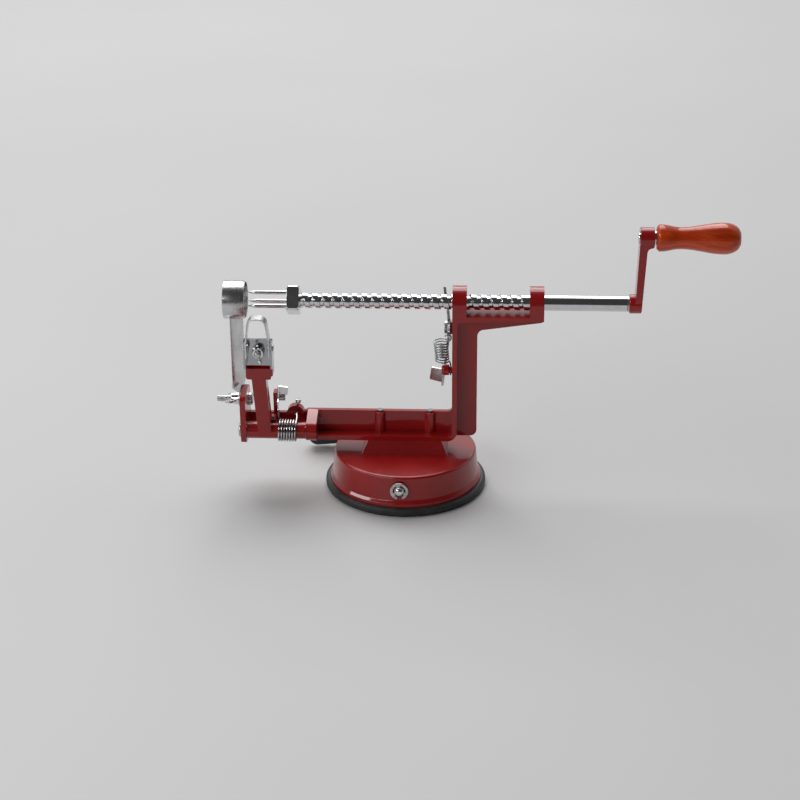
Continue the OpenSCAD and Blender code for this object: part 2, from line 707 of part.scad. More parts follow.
module crank_arm() color(enamel) difference() {
    hub_r = crank_hub_d / 2;
    union() {
        translate([crank_x, 0, shaft_z]) turned_x(rounded([[0, 0, 0], [0, hub_r, 0.8], [hub_l + 1, hub_r, 0],
            [hub_l + 1, 0, 0]]));
        crank_bar(hub_r, handle_hub_d / 2);
    }
    translate([0, 0, shaft_z]) plate_x(crank_x - 2, hub_l + crank_t) key_outline(run_fit);
    bar_x(crank_x, 20, 2 + seat_fit, 0, shaft_z);
    translate([crank_x1 - 2.3, 0, shaft_z]) turned_x([[0, 0], [0, 2], [2.4, 4.4], [6, 4.4], [6, 0]]);
    bar_x(handle_hub_x - 3, handle_hub_x1 - handle_hub_x + 4, axle_r + run_fit, 0, handle_z);
    bar_x(handle_hub_x - 6, 6 + 0.2, axle_r + 1.6, 0, handle_z);
}

// Leaning bar of the crank with the handle's hub
module crank_bar(hub_r, top_r) {
    arm_half = 5.4;
    low_z = handle_z - top_r * 0.76;
    intersection() {
        plate_y(-20, 40) polygon(rounded([[crank_x + hub_l, shaft_z - hub_r, 0], [crank_x1, shaft_z - hub_r, 1],
            [crank_x1 + crank_lean, low_z, 3], [handle_hub_x1, low_z, 1.2], [handle_hub_x1, handle_z + top_r, 0.8],
            [handle_hub_x, handle_z + top_r, 0.8], [crank_x + hub_l, shaft_z + hub_r, 0]]));
        plate_x(crank_x - 1, 40) {
            translate([0, shaft_z]) circle(hub_r);
            translate([0, handle_z]) circle(top_r);
            translate([-arm_half, shaft_z]) square([2 * arm_half, crank_r]);
        }
    }
}

module crank_screw() color(steel) translate([crank_x1 - 2.3, 0, shaft_z]) difference() {
    turned_x([[-7, 0], [-7, 1.9], [0.2, 1.9], [2.2, 3.9], [2.2, 0]]);
    translate([1.2, -3, -0.5]) cube([2, 6, 1]);
    translate([1.2, -0.5, -3]) cube([2, 1, 6]);
}

module crank_washer() color(steel) translate([shoulder_x + 0.1, 0, shaft_z]) difference() {
    bar_x(0, washer_t, shaft_r - 0.05);
    bar_x(-1, washer_t + 2, spigot_r + run_fit);
}

module handle_axle() color(chrome) translate([0, 0, handle_z]) {
    head_x = grip_x + grip_l - grip_sink + 0.3;
    turned_x(rounded([[handle_hub_x - 1.2, 0, 0], [handle_hub_x - 1.2, axle_r + 0.6, 0.7],
        [handle_hub_x + 0.15, axle_r + 0.6, 0], [handle_hub_x + 0.15, axle_r, 0], [head_x, axle_r, 0],
        [head_x, axle_r + 1.3, 0], [head_x + 2.6, axle_r + 1.3, 0.8], [head_x + 2.6, 0, 0]]));
}

module handle_washer() color(chrome) translate([handle_hub_x1 + 0.05, 0, handle_z]) difference() {
    bar_x(0, handle_washer_t, axle_r + 1.9);
    bar_x(-1, handle_washer_t + 2, axle_r + run_fit);
}

module handle_grip() color(varnish) translate([grip_x, 0, handle_z]) difference() {
    lip_r = grip_d * 0.43;
    waist_r = grip_d * 0.348;
    full_r = grip_d / 2;
    waist_x = grip_l * 0.29;
    full_x = grip_l * 0.81;
    turned_x(concat([[0, 0], [0, lip_r - 2], [1.9, lip_r]],
        [for (k = [1:8]) [2.4 + (waist_x - 2.4) * k / 8, ease(lip_r, waist_r, k / 8)]],
        [for (k = [1:10]) [waist_x + (full_x - waist_x) * k / 10, ease(waist_r, full_r, k / 10)]],
        [for (a = [10:10:80]) [full_x + (grip_l - full_x) * sin(a), full_r * (0.36 + 0.64 * cos(a))]],
        [[grip_l, full_r * 0.36 + 0.2], [grip_l, 0]]));
    bar_x(-1, grip_l, axle_r + run_fit);
    bar_x(grip_l - grip_sink, grip_sink + 2, axle_r + 1.3 + run_fit * 2);
}

// Feed pawl

module feed_pawl() color(steel) {
    difference() {
        intersection() {
            pawl_sheet();
            plate_x(pawl_x - 10, pawl_t + 12) {
                translate([pawl_y, pawl_z]) circle(5.5);
                pawl_finger();
                pawl_hook_arm();
                pawl_tail();
            }
        }
        bar_x(pawl_x - 1, pawl_t + 2, pivot_r + run_fit, pawl_y, pawl_z);
        bar_x(pawl_x - 1, pawl_t + 2, pawl_wire_d, hook_y, hook_z);
    }
    pawl_tooth();
    pawl_tab();
}

// Sheet of the pawl seen from the front: upright at the hub, leaning above and below it
module pawl_sheet() {
    top_x = pawl_x - pawl_lean * (shaft_z + 12 - pawl_z - 5) / (shaft_z - pawl_z - 5);
    low_x = pawl_x - tail_lean * (pawl_z - 6 - tab_z + 2);
    plate_y(-20, 40) polygon([[top_x, shaft_z + 12], [pawl_x, pawl_z + 5], [pawl_x, pawl_z - 6], [low_x, tab_z - 2],
        [low_x + pawl_t, tab_z - 2], [pawl_x + pawl_t, pawl_z - 6], [pawl_x + pawl_t, pawl_z + 5],
        [top_x + pawl_t, shaft_z + 12]]);
}

// Thumb tab, bent square to the tail
module pawl_tab() {
    high = tab_z + 9.8;
    high_x = pawl_x - tail_lean * (pawl_z - 6 - high);
    low_x = pawl_x - tail_lean * (pawl_z - 6 - tab_z);
    translate([0, pawl_y - 1.5, high]) rotate([tab_tilt, 0, 0]) translate([0, 0, -high])
        plate_y(0, 1.2) polygon(rounded([[low_x + 0.7, tab_z, 0], [high_x + 0.7, high, 0],
            [high_x - 7.2, high + 1.8, 0.8], [low_x - 7.3, tab_z + 2.4, 1]]));
}

// Upper finger, behind the thread
module pawl_finger() {
    edge = shaft_r + 0.4;
    polygon([[pawl_y - 4.6, pawl_z + 2], [edge, shaft_z - 8], [edge, shaft_z + 3], [edge + 1.4, shaft_z + 7],
        [edge + 4.4, shaft_z + 6], [edge + 5, shaft_z - 8], [pawl_y + 5.2, pawl_z]]);
}

module pawl_hook_arm() {
    translate([hook_y, hook_z]) circle(hook_rim);
    polygon([[hook_y, hook_z - hook_rim], [pawl_y, pawl_z - 5.4], [pawl_y, pawl_z + 5.4],
        [hook_y, hook_z + hook_rim]]);
}

// Lower arm, which passes behind the spring and the peg to the thumb tab
module pawl_tail() polygon([[pawl_y - 1.5, pawl_z], [pawl_y - 1.5, tab_z - 0.8], [pawl_y + 1.5, tab_z - 0.8],
    [pawl_y + 3.5, tab_z + 12], [pawl_y + 3.5, pawl_z]]);

// Tooth that follows the thread groove
module pawl_tooth() {
    lead = atan(pitch / (PI * (shaft_r + root_r)));
    tip = root_r + 0.3;
    reach = shaft_r + 1.4 - tip;
    translate([tooth_x, tip, shaft_z]) rotate([0, lead, 0]) translate([-0.6, 0, -1.2])
        cube([1.2, reach, 2.4]);
}

module pawl_pivot_screw() color(steel) difference() {
    union() {
        translate([pawl_x - seat_fit - 2, pawl_y, pawl_z])
            turned_x(rounded([[0, 0, 0], [0, pivot_r + 2, 0.6], [2, pivot_r + 2, 0], [2, 0, 0]]));
        bar_x(pawl_x - seat_fit - 1, pawl_gap + pawl_t + flange_t + seat_fit + 0.8, pivot_r, pawl_y, pawl_z);
    }
    translate([pawl_x - seat_fit - 3, pawl_y - 5, pawl_z - 0.5]) cube([1.8, 10, 1]);
}

// Tension spring from the peg to the pawl, with a hook at each end
function pawl_spring_path() = let (rings = 8,
        low = [pawl_x - 2.9, hook_y, peg_z + 5.8],
        high = [pawl_x - 4, hook_y, hook_z - hook_rim - pawl_wire_d],
        gap_x = pawl_x + pawl_t + pawl_gap / 2,
        hook_r = neck_r + pawl_wire_d / 2 + 0.35,
        hook_x = column_x - neck_l * 0.55)
    concat(
        [[hook_x, hook_y - hook_r * 0.94 - 0.34, peg_z - hook_r * 0.34 + 0.94]],
        [for (a = [200:30:350]) [hook_x, hook_y + hook_r * cos(a), peg_z + hook_r * sin(a)]],
        [[hook_x, hook_y + hook_r, peg_z + 1.6], [hook_x - 0.3, hook_y + 2, peg_z + 3.8]],
        [for (k = [0:pawl_coils * rings]) let (s = k / (pawl_coils * rings), a = -360 * k / rings)
            low + (high - low) * s + pawl_coil_r * [cos(a), sin(a), 0]],
        [[gap_x - 1, hook_y - 0.3, high.z + 0.1], [gap_x - 0.2, hook_y - 0.3, high.z + 0.6],
            [gap_x, hook_y - 0.2, hook_z - 2], [gap_x, hook_y - 0.1, hook_z - 0.9],
            [gap_x - 0.4, hook_y, hook_z - 0.1], [pawl_x + pawl_t / 2, hook_y, hook_z + 0.1],
            [pawl_x - 0.7, hook_y, hook_z - 0.1], [pawl_x - 1.6, hook_y, hook_z - 0.9]]);

module pawl_spring() color(chrome) wire(pawl_spring_path(), pawl_wire_d, [1, 0, 0]);

// Peeling arm

module peeler_arm() color(enamel) difference() {
    union() {
        bar_x(sleeve_x, sleeve_l, sleeve_r, -rod_y, rod_z);
        arm_post();
        arm_head();
        translate([post_x + post_w - 2, -rod_y + 1, rod_z])
            cube([coil_x0 - 1.55 - post_x - post_w + 2, 4, sleeve_r + 3.5]);
    }
    bar_x(sleeve_x - 1, sleeve_l + 2, rod_r + run_fit, -rod_y, rod_z);
    bar_y(head_front - 1, 12, clamp_r + seat_fit, head_x, bracket_bolt_z);
}

module arm_post() intersection() {
    plate_y(-rod_y - 40, 60) polygon([[post_x, rod_z], [post_x + post_w, rod_z],
        [head_x + post_w / 2 - 0.4, head_z + 1], [head_x - post_w / 2 - 0.75, head_z + 1]]);
    plate_x(post_x - 5, post_w + 10) polygon([[-rod_y - sleeve_r + 0.2, rod_z - 1],
        [-rod_y + sleeve_r - 1.2, rod_z - 1], [head_back - 0.5, head_z + 1], [head_front + 0.5, head_z + 1]]);
}

// Head with a step that the bracket stands on
module arm_head() intersection() {
    half = head_w / 2;
    plate_y(head_front - 1, 20) polygon(rounded([[head_x - half, head_z, 1.5],
        [head_x + half - 1.2, head_z, 1], [head_x + half - 1.2, head_z + 2, 0], [head_x + half, head_z + 2.4, 0.5],
        [head_x + half, bracket_z + 6, 2], [head_x + 5.5, bracket_bolt_z + 5, 3],
        [head_x - 5.5, bracket_bolt_z + 5, 3], [head_x - half, bracket_z + 6, 2]]));
    plate_x(head_x - half, head_w) polygon([[head_front, head_z], [head_back, head_z],
        [head_back, bracket_bolt_z + 6], [bracket_back, bracket_bolt_z + 6], [bracket_back, head_z + head_h + 0.5],
        [head_front, head_z + head_h]]);
}

module arm_rod() color(steel) {
    bar_x(plate_x0 - 0.2, lug_x - plate_x0, rod_r, -rod_y, rod_z);
    translate([plate_x0 - 1.7, -rod_y, rod_z])
        turned_x(rounded([[0, 0, 0], [0, rod_r + 1.5, 0.8], [1.6, rod_r + 1.5, 0], [1.6, 0, 0]]));
}

// Torsion spring round the sleeve: left leg to the arm, right leg into the hump
function arm_spring_path() = let (rings = 8, m = arm_coils * rings - 3)
    concat(
        [[coil_x0 - 0.2, -rod_y + arm_coil_r - 2.2, rod_z + arm_leg_h],
            [coil_x0 - 0.2, -rod_y + arm_coil_r - 1, rod_z + arm_leg_h * 0.79],
            [coil_x0 - 0.2, -rod_y + arm_coil_r, rod_z + arm_leg_h * 0.5],
            [coil_x0 - 0.1, -rod_y + arm_coil_r + 0.1, rod_z + arm_leg_h * 0.21]],
        [for (k = [0:m]) let (a = -360 * k / rings)
            [coil_x0 + arm_pitch * k / rings, -rod_y + arm_coil_r * cos(a), rod_z + arm_coil_r * sin(a)]],
        [[leg_x + 0.4, -rod_y + 2.2, leg_z - 0.9], [leg_x, -rod_y + 5, leg_z], [leg_x, -hump_half - 1.2, leg_z],
            [leg_x, -hump_half + 2.5, leg_z]]);

module arm_spring() color(chrome) wire(arm_spring_path(), arm_wire_d, [1, 0, 0]);

module blade_bracket() color(chrome) difference() {
    translate([head_x, bracket_back, bracket_z]) linear_extrude(bracket_h) polygon([
        [-bracket_half, 0], [bracket_half, 0], [bracket_half, -bracket_d], [bracket_half - bracket_t, -bracket_d],
        [bracket_half - bracket_t, -bracket_t], [-bracket_half + bracket_t, -bracket_t],
        [-bracket_half + bracket_t, -bracket_d], [-bracket_half, -bracket_d]]);
    for (dz = [-bracket_play, bracket_play])
        bar_y(bracket_back - 2, 4, clamp_r + seat_fit, head_x, bracket_bolt_z + dz);
    translate([head_x - clamp_r - seat_fit, bracket_back - 2, bracket_bolt_z - bracket_play])
        cube([2 * (clamp_r + seat_fit), 4, 2 * bracket_play]);
    rivet_bore();
}

// Outline of the hoop, inset by gap
module hoop_outline(gap) {
    top = bracket_z + bracket_h + hoop_h - gap;
    foot = bracket_z + bracket_h * 0.42;
    half = hoop_half - gap;
    neck = hoop_half * 0.74 - gap;
    polygon(rounded([[head_x - half, foot, 0], [head_x - half, bracket_z + bracket_h, 6],
        [head_x - neck, top, 4.6 - gap], [head_x + neck, top, 4.6 - gap],
        [head_x + half, bracket_z + bracket_h, 6], [head_x + half, foot, 0]]));
}

module peeler_blade() color(chrome) difference() {
    plate_y(blade_front, blade_w) difference() {
        hoop_outline(0);
        hoop_outline(blade_t);
        translate([head_x - hoop_half + blade_t, 0]) square([2 * (hoop_half - blade_t), bracket_z + bracket_h * 0.5]);
    }
    rivet_bore();
}

rivet_y = bracket_back - bracket_d * 0.62;
rivet_z = bracket_z + bracket_h * 0.75;
rivet_r = 1.2;

module rivet_bore() bar_x(head_x - head_w, 2 * head_w, rivet_r + run_fit, rivet_y, rivet_z);

module blade_rivets() color(steel) for (side = [0, 1]) translate([head_x, rivet_y, rivet_z])
    mirror([side, 0, 0]) {
        outer = bracket_half + 0.02;
        inner = hoop_half - blade_t - 0.02;
        turned_x(rounded([[inner - 0.9, 0, 0], [inner - 0.9, rivet_r + 0.8, 0.8], [inner, rivet_r + 0.8, 0],
            [inner, rivet_r, 0], [outer, rivet_r, 0], [outer, rivet_r + 0.8, 0],
            [outer + 0.9, rivet_r + 0.8, 0.8], [outer + 0.9, 0, 0]]));
    }

// Clamping bolt along -X or -Y with a square neck: drawn along +Z from its head's inner face
module clamp_bolt(l) {
    translate([0, 0, -2.4]) rotate_extrude()
        polygon(rounded([[0, 0, 0], [clamp_r + 2, 0, 1.4], [clamp_r + 2, 2.4, 0], [0, 2.4, 0]]));
    translate([0, 0, -0.5]) cylinder(r = clamp_r, h = l - 0.1);
    translate([0, 0, l - 0.6]) rotate_extrude()
        polygon([[0, 0], [clamp_r, 0], [clamp_r - 0.6, 0.6], [0, 0.6]]);
}

// Wing nut drawn along +Z from its seat, with wings of half span s along X
module wing_nut(s) difference() {
    union() {
        rotate_extrude() polygon(rounded([[0, 0, 0], [clamp_r + 1.9, 0, 0.3], [clamp_r + 1.4, nut_hub_l, 0.5],
            [0, nut_hub_l, 0]]));
        for (side = [0, 1]) mirror([side, 0, 0]) rotate([90, 0, 0]) linear_extrude(1.4, center = true)
            polygon(rounded([[clamp_r + 0.4, 0.8, 0], [s - 2.2, 2.6, 2], [s, 5, 2], [s - 0.4, 8, 0.9],
                [s - 2.6, 8, 0.9], [clamp_r + 1, 2.6, 0]]));
    }
    translate([0, 0, -1]) cylinder(r = clamp_r + run_fit, h = nut_hub_l + 2);
}

bracket_seat = bracket_back - bracket_t - seat_fit;
bracket_nut_half = hoop_half - blade_t - 0.5;

module bracket_bolt() color(steel) translate([head_x, head_back + 0.05, bracket_bolt_z]) rotate([90, 0, 0])
    clamp_bolt(head_back - bracket_seat + nut_hub_l + 2.5);

module bracket_wing_nut() color(chrome) translate([head_x, bracket_seat, bracket_bolt_z])
    rotate([90, 72, 0]) wing_nut(bracket_nut_half);

// Slicing and coring blade

module slicer_blade() color(steel) difference() {
    half = slicer_w / 2;
    foot_z = slicer_z - half;
    stem_z = slicer_z + 6.5;
    bend_h = 4;
    bend_steps = 6;
    union() {
        plate_x(slicer_x, slicer_t) polygon(rounded([[-half, foot_z, 4], [half, foot_z, 4], [half, stem_z, 0],
            [-half, stem_z, 0]]));
        translate([slicer_x + slicer_t / 2, 0, 0]) twisted_bar(slicer_t, half, concat([[stem_z - 2, 0, 0]],
            [for (k = [0:bend_steps]) let (s = k / bend_steps)
                [stem_z + bend_h * s, -slicer_twist * s, -slicer_jog * s]],
            [[shaft_z - ring_r + 2, -slicer_twist, -slicer_jog]]));
        bar_x(ring_x - ring_l / 2, ring_l, ring_r + ring_t, 0, shaft_z);
    }
    bar_x(ring_x - ring_l, 2 * ring_l, ring_r, 0, shaft_z);
    bar_x(slicer_x - 1, slicer_t + 2, clamp_r + seat_fit, 0, slicer_z);
}

slicer_seat = slicer_x - seat_fit;

module slicer_bolt() color(steel) translate([plate_x1 + 0.05, 0, slicer_z]) rotate([0, -90, 0])
    clamp_bolt(plate_x1 - slicer_seat + 1 + nut_hub_l + 8.9);

module slicer_washer() color(steel) difference() {
    bar_x(slicer_seat - 1, 1, washer_r, 0, slicer_z);
    bar_x(slicer_seat - 2, 3, clamp_r + run_fit, 0, slicer_z);
}

module slicer_wing_nut() color(chrome) translate([slicer_seat - 1 - seat_fit, 0, slicer_z])
    rotate([0, -90, 0]) rotate(96) wing_nut(8.5);

// Catch that holds the arm away from the fruit

catch_x = catch_post_x + catch_post_w + seat_fit;
catch_t = 1.1;

module arm_catch() color(chrome) difference() {
    union() {
        plate_x(catch_x, catch_t) {
            translate([catch_y, catch_z]) circle(3.2);
            polygon([[catch_y - 3, catch_z + 1], [catch_y + 3, catch_z + 1], [catch_y + 1, catch_z + 7.6],
                [catch_y - 2, catch_z + 7.6]]);
            polygon([[catch_y, catch_z - 3.2], [catch_y - 6.4, catch_z - 2.6], [catch_y - 6.4, catch_z - 0.6],
                [catch_y, catch_z + 2]]);
        }
        translate([catch_x, catch_y - 1, catch_z + 2.6]) rotate([8, 7, 0]) cube([6, 1.1, 5.4]);
    }
    bar_x(catch_x - 1, catch_t + 2, 1.2 + run_fit, catch_y, catch_z);
}

module catch_screw() color(steel) difference() {
    union() {
        bar_x(catch_post_x, catch_x + catch_t + 0.8 - catch_post_x, 1.2, catch_y, catch_z);
        translate([catch_x + catch_t + seat_fit, catch_y, catch_z])
            turned_x(rounded([[0, 0, 0], [0, 2.2, 0], [3.4, 2.2, 0.5], [3.4, 0, 0]]));
    }
    translate([catch_x + catch_t + 2.6, catch_y - 3, catch_z - 0.3]) cube([2, 6, 0.6]);
}

// Place of the leg screw: down through the hump onto the spring's leg
module leg_screw_place() translate([leg_x, -hump_half + 2, leg_z]) rotate([0, 3, 0])
    translate([0, 0, arm_wire_d / 2 + 0.35]) children();

module leg_screw() color(chrome) leg_screw_place() difference() {
    l = 3.6;
    rotate_extrude() polygon(rounded([[0, 0, 0], [1, 0, 0], [1, l, 0], [1.8, l, 0.2], [1.8, l + 2.2, 0.4],
        [0, l + 2.2, 0]]));
    translate([-3, -0.25, l + 1.4]) cube([6, 0.5, 2]);
}

echo(arm_spring_gap = self_gap(arm_spring_path(), arm_wire_d));
echo(pawl_spring_gap = self_gap(pawl_spring_path(), pawl_wire_d));

base_housing();
suction_pad();
suction_stem();
lever_shaft();
shaft_clip();
suction_lever();
lever_grip();
main_frame();
frame_bolts();
feed_shaft();
fork_collar();
fork_prongs();
crank_arm();
crank_screw();
crank_washer();
handle_axle();
handle_washer();
handle_grip();
feed_pawl();
pawl_pivot_screw();
pawl_spring();
peeler_arm();
arm_rod();
arm_spring();
blade_bracket();
peeler_blade();
blade_rivets();
bracket_bolt();
bracket_wing_nut();
slicer_blade();
slicer_bolt();
slicer_washer();
slicer_wing_nut();
arm_catch();
catch_screw();
leg_screw();
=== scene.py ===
"""Looks of the hand cranked peeler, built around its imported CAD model.

Metres, in the CAD frame: the origin is the middle of the suction pad on the table,
+X runs along the screw shaft towards the crank and +Z is up.
"""
import json
import math

import bmesh
import bpy
import numpy as np
from mathutils import Matrix, Vector


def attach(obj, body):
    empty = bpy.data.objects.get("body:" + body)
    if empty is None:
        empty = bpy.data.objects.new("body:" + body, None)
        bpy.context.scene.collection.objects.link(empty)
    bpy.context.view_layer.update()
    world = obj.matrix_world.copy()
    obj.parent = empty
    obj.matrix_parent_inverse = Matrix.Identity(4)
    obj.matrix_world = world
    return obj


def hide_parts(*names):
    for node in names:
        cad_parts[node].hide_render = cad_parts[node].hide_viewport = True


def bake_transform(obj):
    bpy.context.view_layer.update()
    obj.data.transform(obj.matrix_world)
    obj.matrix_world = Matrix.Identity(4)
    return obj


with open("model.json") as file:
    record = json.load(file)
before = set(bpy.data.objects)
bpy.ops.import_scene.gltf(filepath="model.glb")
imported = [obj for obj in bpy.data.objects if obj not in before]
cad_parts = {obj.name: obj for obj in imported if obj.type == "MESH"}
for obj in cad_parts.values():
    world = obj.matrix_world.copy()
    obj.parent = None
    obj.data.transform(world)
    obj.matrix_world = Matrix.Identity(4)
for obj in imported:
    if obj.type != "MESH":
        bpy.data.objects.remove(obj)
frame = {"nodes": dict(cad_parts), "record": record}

MM = 0.001
TURN = 2 * math.pi

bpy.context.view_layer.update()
record = frame["record"]
behaviour = record["behaviour"]
body_of = {node: body for body, nodes in behaviour["bodies"].items() for node in nodes}
slot_of = {row["node"]: row["material_slot"] for row in record["subparts"]}
pivot_of = {row["name"]: [round(c / MM, 4) for c in row["pos_m"]]
            for row in behaviour["joints"] if "pos_m" in row}

# Sizes that the finer pieces share with the CAD solids, in millimetres
SHOULDER_X, _, SHAFT_Z = pivot_of["crank_turn"]
SHAFT_R = 4.75
THREAD_X = -63.5
THREAD_END = 72.0
PITCH = 6.0
GROOVE_DEPTH = 1.0
TOOTH_X = 24.95
STUB_L = 7.4
STUB_R = 2.9
SPIGOT_END = 139.7
SPIGOT_R = 3.6
_, _, HANDLE_Z = pivot_of["handle_spin"]
GRIP_X = 149.4
GRIP_L = 49.3
GRIP_D = 18.8
GRIP_BORE_R = 2.55
_, ARM_Y, ARM_Z = pivot_of["arm_swing"]
ARM_WIRE_D = 1.2
ARM_COIL_R = 6.6
ARM_COIL_LEFT = -77.65
ARM_LEG_X = -66.7
ARM_LEG_Z = 49.0
PAWL_WIRE_D = 0.85
PAWL_COIL_R = 4.05
PAWL_SHEET_X = 26.0
PAWL_SPRING_Y = -5.5
PAWL_HOOK_Z = 101.5
PAWL_PEG_Z = 78.7
_, _, CLAMP_Z = pivot_of["slicer_swing"]
CLAMP_R = 2.0
CLAMP_HEAD_X = -94.45
CLAMP_SEAT_X = -96.85
CLAMP_NUT_X = -110.5
CLAMP_TIP_X = -116.75
RING_LEFT = -109.5
RING_RIGHT = -96.5
RING_INNER_R = 10.75
RING_OUTER_R = 11.75
STRIP_X = -101.05
STRIP_FOOT_Z = 47.3
STRIP_TOP_R = 11.3
STRIP_W = 16.0
STRIP_T = 1.5
TWIST_LOW_Z = 61.8
TWIST_HIGH_Z = 65.8
TWIST_ANGLE = math.radians(-20)
TWIST_SET = 2.0


# Node trees

class Value:
    """A socket that takes part in plain arithmetic."""

    def __init__(self, graph, socket):
        self.graph = graph
        self.socket = socket

    def __add__(self, other):
        return self.graph.math("ADD", self, other)

    def __radd__(self, other):
        return self.graph.math("ADD", other, self)

    def __sub__(self, other):
        return self.graph.math("SUBTRACT", self, other)

    def __rsub__(self, other):
        return self.graph.math("SUBTRACT", other, self)

    def __mul__(self, other):
        return self.graph.math("MULTIPLY", self, other)

    def __rmul__(self, other):
        return self.graph.math("MULTIPLY", other, self)

    def __truediv__(self, other):
        return self.graph.math("DIVIDE", self, other)


class Graph:
    """A node tree that grows by node()."""

    def __init__(self, tree):
        self.tree = tree

    def node(self, kind, settings=None, values=None, output=0):
        """Adds a node with its settings, then its socket values or links, and returns one output."""
        made = self.tree.nodes.new(kind)
        for name, setting in (settings or {}).items():
            if name == "stops":
                ramp = made.color_ramp
                while len(ramp.elements) < len(setting):
                    ramp.elements.new(1.0)
                for element, (place, colour) in zip(ramp.elements, setting):
                    element.position = place
                    element.color = colour
            elif name == "choices":
                while len(made.index_switch_items) < setting:
                    made.index_switch_items.new()
            else:
                setattr(made, name, setting)
        for key, value in (values or {}).items():
            if isinstance(value, Value):
                self.tree.links.new(value.socket, made.inputs[key])
            else:
                made.inputs[key].default_value = value
        return Value(self, made.outputs[output])

    def math(self, operation, *values):
        return self.node("ShaderNodeMath", {"operation": operation}, dict(enumerate(values)))

    def part(self, vector, axis):
        """One of a vector's three numbers."""
        return self.node("ShaderNodeSeparateXYZ", None, {0: vector}, axis)


def srgb(red, green, blue):
    """Linear colour of an 8 bit one."""
    channels = [c / 255 for c in (red, green, blue)]
    return tuple(c / 12.92 if c <= 0.04045 else ((c + 0.055) / 1.055) ** 2.4 for c in channels) + (1.0,)


def metal(red, green, blue, tone=1.0):
    """Linear colour of a metal's shine, darker below a tone of 1."""
    return (red * tone, green * tone, blue * tone, 1.0)


class Finish(Graph):
    """A material with one shader. What is the same all over is set on the shader's own sockets."""

    def __init__(self, name, constants):
        self.material = bpy.data.materials.new(name)
        self.material.use_nodes = True
        super().__init__(self.material.node_tree)
        self.shader = self.tree.nodes["Principled BSDF"]
        for socket, value in constants.items():
            self.shader.inputs[socket].default_value = value

    def place(self, stretch=(1, 1, 1), shift=(0, 0, 0)):
        """Object coordinates, stretched and shifted."""
        here = self.node("ShaderNodeTexCoord", output="Object")
        return self.node("ShaderNodeMapping", None, {"Vector": here, "Location": shift, "Scale": stretch})

    def noise(self, where, scale, detail, roughness):
        return self.node("ShaderNodeTexNoise", None,
                         {"Vector": where, "Scale": scale, "Detail": detail, "Roughness": roughness}, "Fac")

    def ramp(self, value, low, high):
        """0 below low and 1 above high."""
        stops = [(low, (0, 0, 0, 1)), (high, (1, 1, 1, 1))]
        return self.node("ShaderNodeValToRGB", {"stops": stops}, {"Fac": value})

    def mix(self, factor, first, second):
        return self.node("ShaderNodeMix", {"data_type": "RGBA"}, {0: factor, 6: first, 7: second}, 2)

    def feed(self, socket, value):
        self.tree.links.new(value.socket, self.shader.inputs[socket])

    def bump(self, height, depth):
        """Relief of a height from 0 to 1, depth in millimetres."""
        sockets = {"Height": height, "Distance": depth * MM, "Strength": 1.0}
        self.feed("Normal", self.node("ShaderNodeBump", None, sockets, "Normal"))


# Finishes

def red_enamel():
    """Glossy stove enamel on a casting: soft orange peel, cloudy depth and fine specks."""
    f = Finish("red_enamel", {"Specular IOR Level": 0.12, "Coat Roughness": 0.05, "Coat IOR": 1.5})
    here = f.place()
    cloud = f.ramp(f.noise(here, 32, 3, 0.6), 0.3, 0.7)
    speck = f.ramp(f.noise(here, 1500, 2, 0.6), 0.62, 0.74)
    body = f.mix(cloud, srgb(140, 16, 18), srgb(158, 21, 22))
    f.feed("Base Color", f.mix(speck * 0.3, body, srgb(165, 62, 62)))
    f.feed("Roughness", 0.30 + 0.10 * cloud + 0.18 * speck)
    f.feed("Coat Weight", 0.95 - 0.2 * cloud)
    f.bump(f.noise(here, 420, 2, 0.55), 0.05)
    return f.material


def bright_plate(name="bright_plate", stretch=(1, 1, 1), lines=0.012, tone=1.0):
    """Bright plating with cloudy handling marks and faint tool lines; lines is their depth in millimetres."""
    f = Finish(name, {"Metallic": 1.0})
    smear = f.ramp(f.noise(f.place(), 90, 4, 0.65), 0.35, 0.75)
    tool = f.noise(f.place(stretch), 900, 3, 0.6)
    f.feed("Base Color", f.mix(smear, metal(0.74, 0.75, 0.77, tone), metal(0.62, 0.62, 0.63, tone)))
    f.feed("Roughness", 0.07 + 0.11 * smear + 0.05 * tool)
    f.bump(tool, lines)
    return f.material


def plain_steel(name="plain_steel", tone=1.0):
    """Zinc plated steel: greyer, with a crystalline mottle."""
    f = Finish(name, {"Metallic": 1.0})
    here = f.place()
    mottle = f.ramp(f.noise(here, 420, 3, 0.7), 0.3, 0.72)
    f.feed("Base Color", f.mix(mottle, metal(0.60, 0.60, 0.61, tone), metal(0.42, 0.42, 0.41, tone)))
    f.feed("Roughness", 0.20 + 0.2 * mottle)
    f.bump(f.noise(here, 1300, 2, 0.5), 0.02)
    return f.material


def rolled_strip():
    """Stainless strip with rolling lines up its length and a duller bloom."""
    f = Finish("rolled_strip", {"Metallic": 1.0})
    lines = f.noise(f.place((1400, 1400, 24)), 1.0, 3, 0.6)
    bloom = f.ramp(f.noise(f.place(), 70, 3, 0.6), 0.35, 0.7)
    f.feed("Base Color", f.mix(bloom, metal(0.66, 0.66, 0.67), metal(0.52, 0.52, 0.52)))
    f.feed("Roughness", 0.16 + 0.12 * lines + 0.1 * bloom)
    f.bump(lines, 0.012)
    return f.material


def pad_rubber():
    """Moulded black rubber with a fine grain and a greyish dust bloom."""
    f = Finish("pad_rubber", {"IOR": 1.48})
    here = f.place()
    dust = f.ramp(f.noise(here, 130, 4, 0.65), 0.45, 0.8)
    f.feed("Base Color", f.mix(dust, srgb(33, 36, 34), srgb(62, 65, 62)))
    f.feed("Roughness", 0.5 + 0.2 * dust)
    f.bump(f.noise(here, 2200, 2, 0.5), 0.03)
    return f.material


